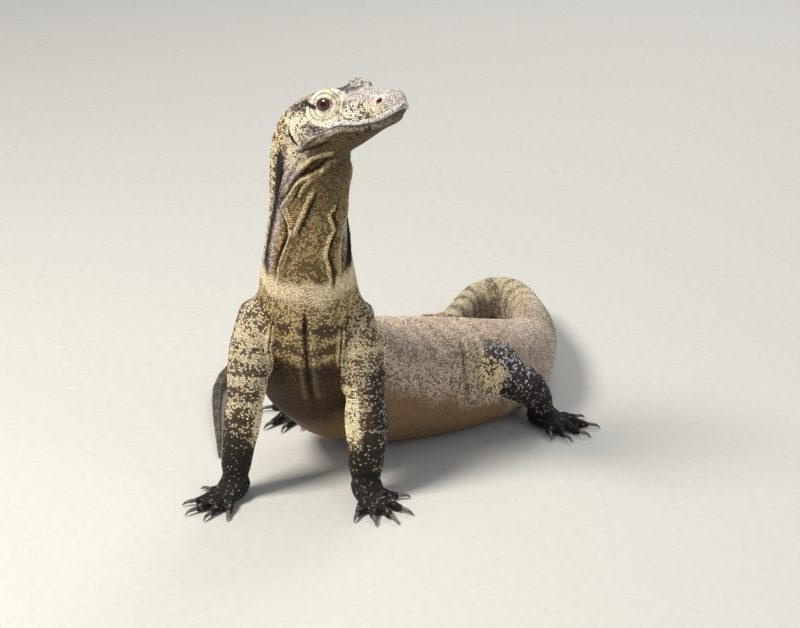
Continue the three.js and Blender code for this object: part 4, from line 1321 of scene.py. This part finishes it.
def beads_at(title, chosen, way, turn, pattern):
    """One joined mesh of scales, each with its own patch in the map at its place on the hide."""
    bead_points, bead_faces = pattern
    site = roots[chosen]
    place, normal, gap, stretch = site[:, :3], unit(site[:, 3:6]), site[:, GAP], site[:, STRETCH]
    back = site[:, 6:9] - normal * np.sum(site[:, 6:9] * normal, axis=1, keepdims=True)
    back = unit(back + 1e-9)
    left = np.cross(normal, back)
    plates = of_parts(coat.owner[chosen], PLATE_PARTS)
    belly = plates & (coat.around[chosen] < 60)
    power = np.where(belly, 3.6, np.where(plates, 2.7, 2.2))
    length = 0.5 * gap * np.where(belly, 1.04, 1.03) * DICE.uniform(0.94, 1.03, len(gap))
    width = 0.5 * gap * ROW_WIDTH * stretch * 1.03 * DICE.uniform(0.95, 1.03, len(gap))
    smooth_face = of_parts(coat.owner[chosen], HEAD_PARTS)
    height = gap * np.where(belly | smooth_face, 0.16, 0.24) * DICE.uniform(0.85, 1.15, len(gap))
    height += 0.08 * gap * near(coat.face[chosen], EYE, 9)
    x, y, z = bead_points.T
    flat = np.maximum(np.hypot(x, y), 1e-6)
    level = z / bead_points[:, 2].max()
    shape = (np.abs(x / flat)[None] ** power[:, None] + np.abs(y / flat)[None] ** power[:, None])
    shape = np.maximum(shape, 0.1) ** (-1 / power[:, None])
    shape = np.where(z > 0.9, 1, np.where(z > 0.5, 1.16, 1) * shape)
    lean = 0.12 * height[:, None] * x[None]
    points = (place[:, None]
              + back[:, None] * (shape * x * length[:, None])[..., None]
              + left[:, None] * (shape * y * width[:, None])[..., None]
              + normal[:, None] * (level * (height[:, None] + SINK) - SINK + lean)[..., None])
    starts = range(0, len(site) * len(bead_points), len(bead_points))
    faces = [[corner + start for corner in face] for start in starts for face in bead_faces]
    mesh = bpy.data.meshes.new(title)
    mesh.from_pydata(points.reshape(-1, 3), [], faces)
    mesh.polygons.foreach_set("use_smooth", [True] * len(faces))
    piece = new_piece(title, mesh)
    # Painted shade: a scale is darkest where it sinks into the hide, with a slight painted highlight on its
    # crown
    rim = 0.7 if pattern is GRAIN else 0.42
    painted_rim_shade = np.interp(level, [0, 0.4, 0.75, 1], [rim, 0.7, 1.0, 1.06])
    lay_markings_with_painted_shade(piece, (scale_colours[chosen][:, None] * painted_rim_shade[:, None]).reshape(-1, 3))
    spread = PATCH * (1 - 0.999 * level)[:, None] * np.column_stack([x / flat, y / flat])
    flat_map = (patch_middles(way, turn)[:, None] + spread[None]).reshape(-1, 2)
    corner_of = np.empty(len(mesh.loops), int)
    mesh.loops.foreach_get("vertex_index", corner_of)
    layer = mesh.uv_layers.new(name="OFBake")
    layer.data.foreach_set("uv", flat_map[corner_of].astype(np.float32).ravel())
    mesh.materials.append(scale_finish)
    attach(piece, "root")


scale_colours = coat.speckled()
scale_finish = scaly_finish("scale_horn", 900.0, 0.22, dull=0.62, shine=0.4)
left_side = coat.turn > 0
PIECES = {
    "scales_head_l": coat.of("head", "lower_jaw", "eye") & left_side,
    "scales_head_r": coat.of("head", "lower_jaw", "eye") & ~left_side,
    "scales_neck": coat.of("neck"),
    "scales_chest": coat.of("chest"),
    "scales_belly_l": coat.of("belly") & left_side,
    "scales_belly_r": coat.of("belly") & ~left_side,
    "scales_hips": coat.of("pelvis"),
    "scales_tail_root": coat.of("tail_1", "tail_2"),
    "scales_tail_end": coat.of("tail_3", "tail_4", "tail_5", "tail_6"),
}
for title, chosen in PIECES.items():
    pattern = BEAD if "head" in title or "neck" in title else PLATE if "chest" in title else GRAIN
    beads_at(title, chosen, coat.way[chosen], coat.turn[chosen], pattern)
for name in limbs:
    chosen = coat.of(*limb_parts(name))
    beads_at(f"scales_{name}", chosen, coat.limb_way[chosen], coat.limb_turn[chosen], BEAD)

# ---------------------------------------------------------------------------------------------
# Eyes. Wet round balls behind the lids, with a red-brown iris round a dark pupil.
# ---------------------------------------------------------------------------------------------
for side, sign in (("l", 1), ("r", -1)):
    axis = Vector(unit(head_axes @ (EYE_AXIS * (1, sign, 1))))
    centre = Vector(from_head(EYE * (1, sign, 1)))
    turned = axis.to_track_quat("Z", "Y").to_euler()
    bpy.ops.object.select_all(action="DESELECT")
    bpy.ops.mesh.primitive_uv_sphere_add(segments=64, ring_count=40, radius=EYE_BALL * MM, location=centre,
                                         rotation=turned)
    bpy.ops.object.shade_smooth()
    bpy.ops.object.transform_apply(location=True, rotation=True, scale=True)
    eyeball = bpy.context.object
    eyeball.name = f"eyeball_{side}"
    finish = Finish(f"eye_{side}")
    own = finish.add("ShaderNodeMapping", {"vector_type": "TEXTURE"}, Vector=finish.place, Location=centre,
                     Rotation=turned, Scale=[EYE_BALL * MM] * 3).outputs["Vector"]
    flat = finish.add("ShaderNodeVectorMath", {"operation": "MULTIPLY"}, Input0=own, Input1=(1, 1, 0))
    out = finish.add("ShaderNodeVectorMath", {"operation": "LENGTH"}, Input0=flat.outputs["Vector"])
    round_it = finish.add("ShaderNodeVectorMath", {"operation": "NORMALIZE"}, Input0=flat.outputs["Vector"])
    rays = finish.noise(round_it.outputs["Vector"], 14.0, 4.0, 0.7)
    iris = finish.colours(
        finish.sum_of(rays, 0.1, out.outputs["Value"]),
        (0.0, (0.008, 0.004, 0.004)), (0.42, (0.01, 0.005, 0.004)), (0.47, (0.06, 0.018, 0.01)),
        (0.56, (0.11, 0.034, 0.018)), (0.66, (0.075, 0.023, 0.013)), (0.76, (0.035, 0.014, 0.01)),
        (0.86, (0.02, 0.01, 0.008)),
    )
    eyeball.data.materials.append(finish.finish(Base_Color=iris, Roughness=0.16, Coat_Weight=0.45,
                                                Coat_Roughness=0.05, IOR=1.36))
    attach(eyeball, "root")
    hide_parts(f"eye_{side}")

# ---------------------------------------------------------------------------------------------
# Claws. Curved sheaths of grey-black horn on every toe, streaked with paler grey by noise.
# ---------------------------------------------------------------------------------------------
horn = Finish("claw_horn")
streaks = horn.noise(horn.place, 420.0, 5.0, 0.6, 0.4)
grey = horn.colours(streaks, (0.3, (0.03, 0.026, 0.023)), (0.72, (0.2, 0.175, 0.15)))
horn_material = horn.finish(Base_Color=grey, Roughness=horn.span(streaks, 0.28, 0.5),
                            Normal=horn.relief(streaks, 0.25, 0.2 * MM))
CLAW_FULLNESS = 0.12 * MM
# How far each claw's root is drawn into its toe, and over what share of its length
CLAW_ROOT = 2.2 * MM
ROOT_SHARE = 0.35
for name in claw_names:
    claw = cast_of([name], f"horn_{name}")
    finish_modifier(claw, "DISPLACE", strength=CLAW_FULLNESS, mid_level=0.0)
    finish_modifier(claw, "SUBSURF", levels=2, render_levels=2)
    root = cut_middle(name, name.split("_claw")[0])
    points = places_of(claw.data)
    far = points[np.linalg.norm(points - root, axis=1).argmax()] - root
    along = (points - root) @ far / (far @ far)
    drawn = np.clip(ROOT_SHARE - along, 0, ROOT_SHARE)[:, None] / ROOT_SHARE
    set_places(claw, points - drawn * unit(far) * CLAW_ROOT)
    bpy.ops.object.shade_smooth()
    claw.data.materials.append(horn_material)
    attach(claw, "root")
    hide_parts(name)

# ---------------------------------------------------------------------------------------------
# Camera, floor and lights. A level studio floor, one large soft lamp high in front on the
# animal's right, a weaker one on its left and one behind to draw the back's edge.
# ---------------------------------------------------------------------------------------------
camera = new_piece("camera", bpy.data.cameras.new("camera"))
camera.location = (0.00096, -1.5589, 0.6685)
camera.rotation_euler = (np.radians(69), 0, 0)
camera.data.lens = 112.5
camera.data.sensor_width = 36
bpy.context.scene.camera = camera

bpy.ops.mesh.primitive_plane_add(size=6)
floor = bpy.context.object
floor.name = "studio_floor"
board = Finish("floor_paint")
rolled = board.noise(board.place, 160.0, 4.0, 0.6)
paint = board.colours(rolled, (0.3, (0.60, 0.59, 0.56)), (0.7, (0.64, 0.63, 0.60)))
floor.data.materials.append(board.finish(Base_Color=paint, Roughness=board.span(rolled, 0.74, 0.86, 0, 1),
                                         Normal=board.relief(rolled, 0.15, 0.4 * MM)))


LIT_SPOT = Vector((0, 0, 0.1))


def add_lamp(name, place, size, power, colour):
    """A soft square lamp that faces the middle of the animal."""
    lamp = new_piece(name, bpy.data.lights.new(name, "AREA"))
    lamp.location = place
    lamp.rotation_euler = (LIT_SPOT - Vector(place)).to_track_quat("-Z", "Y").to_euler()
    lamp.data.size = size
    lamp.data.energy = power
    lamp.data.color = colour


add_lamp("key_lamp", (-0.85, -0.55, 1.35), 0.45, 30, (1.0, 0.95, 0.86))
add_lamp("fill_lamp", (1.2, -1.2, 0.8), 1.0, 5, (0.92, 0.96, 1.0))
add_lamp("rim_lamp", (0.5, 1.3, 1.2), 0.8, 10, (1.0, 0.98, 0.95))
world = bpy.data.worlds.new("studio")
world.use_nodes = True
sky = world.node_tree.nodes["Background"].inputs
sky["Color"].default_value = (0.86, 0.9, 0.95, 1)
sky["Strength"].default_value = 0.34
bpy.context.scene.world = world
bpy.context.scene.view_settings.view_transform = "Standard"

for polygon in skin.data.polygons:
    polygon.use_smooth = True
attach(skin, "root")
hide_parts(*flesh_names)
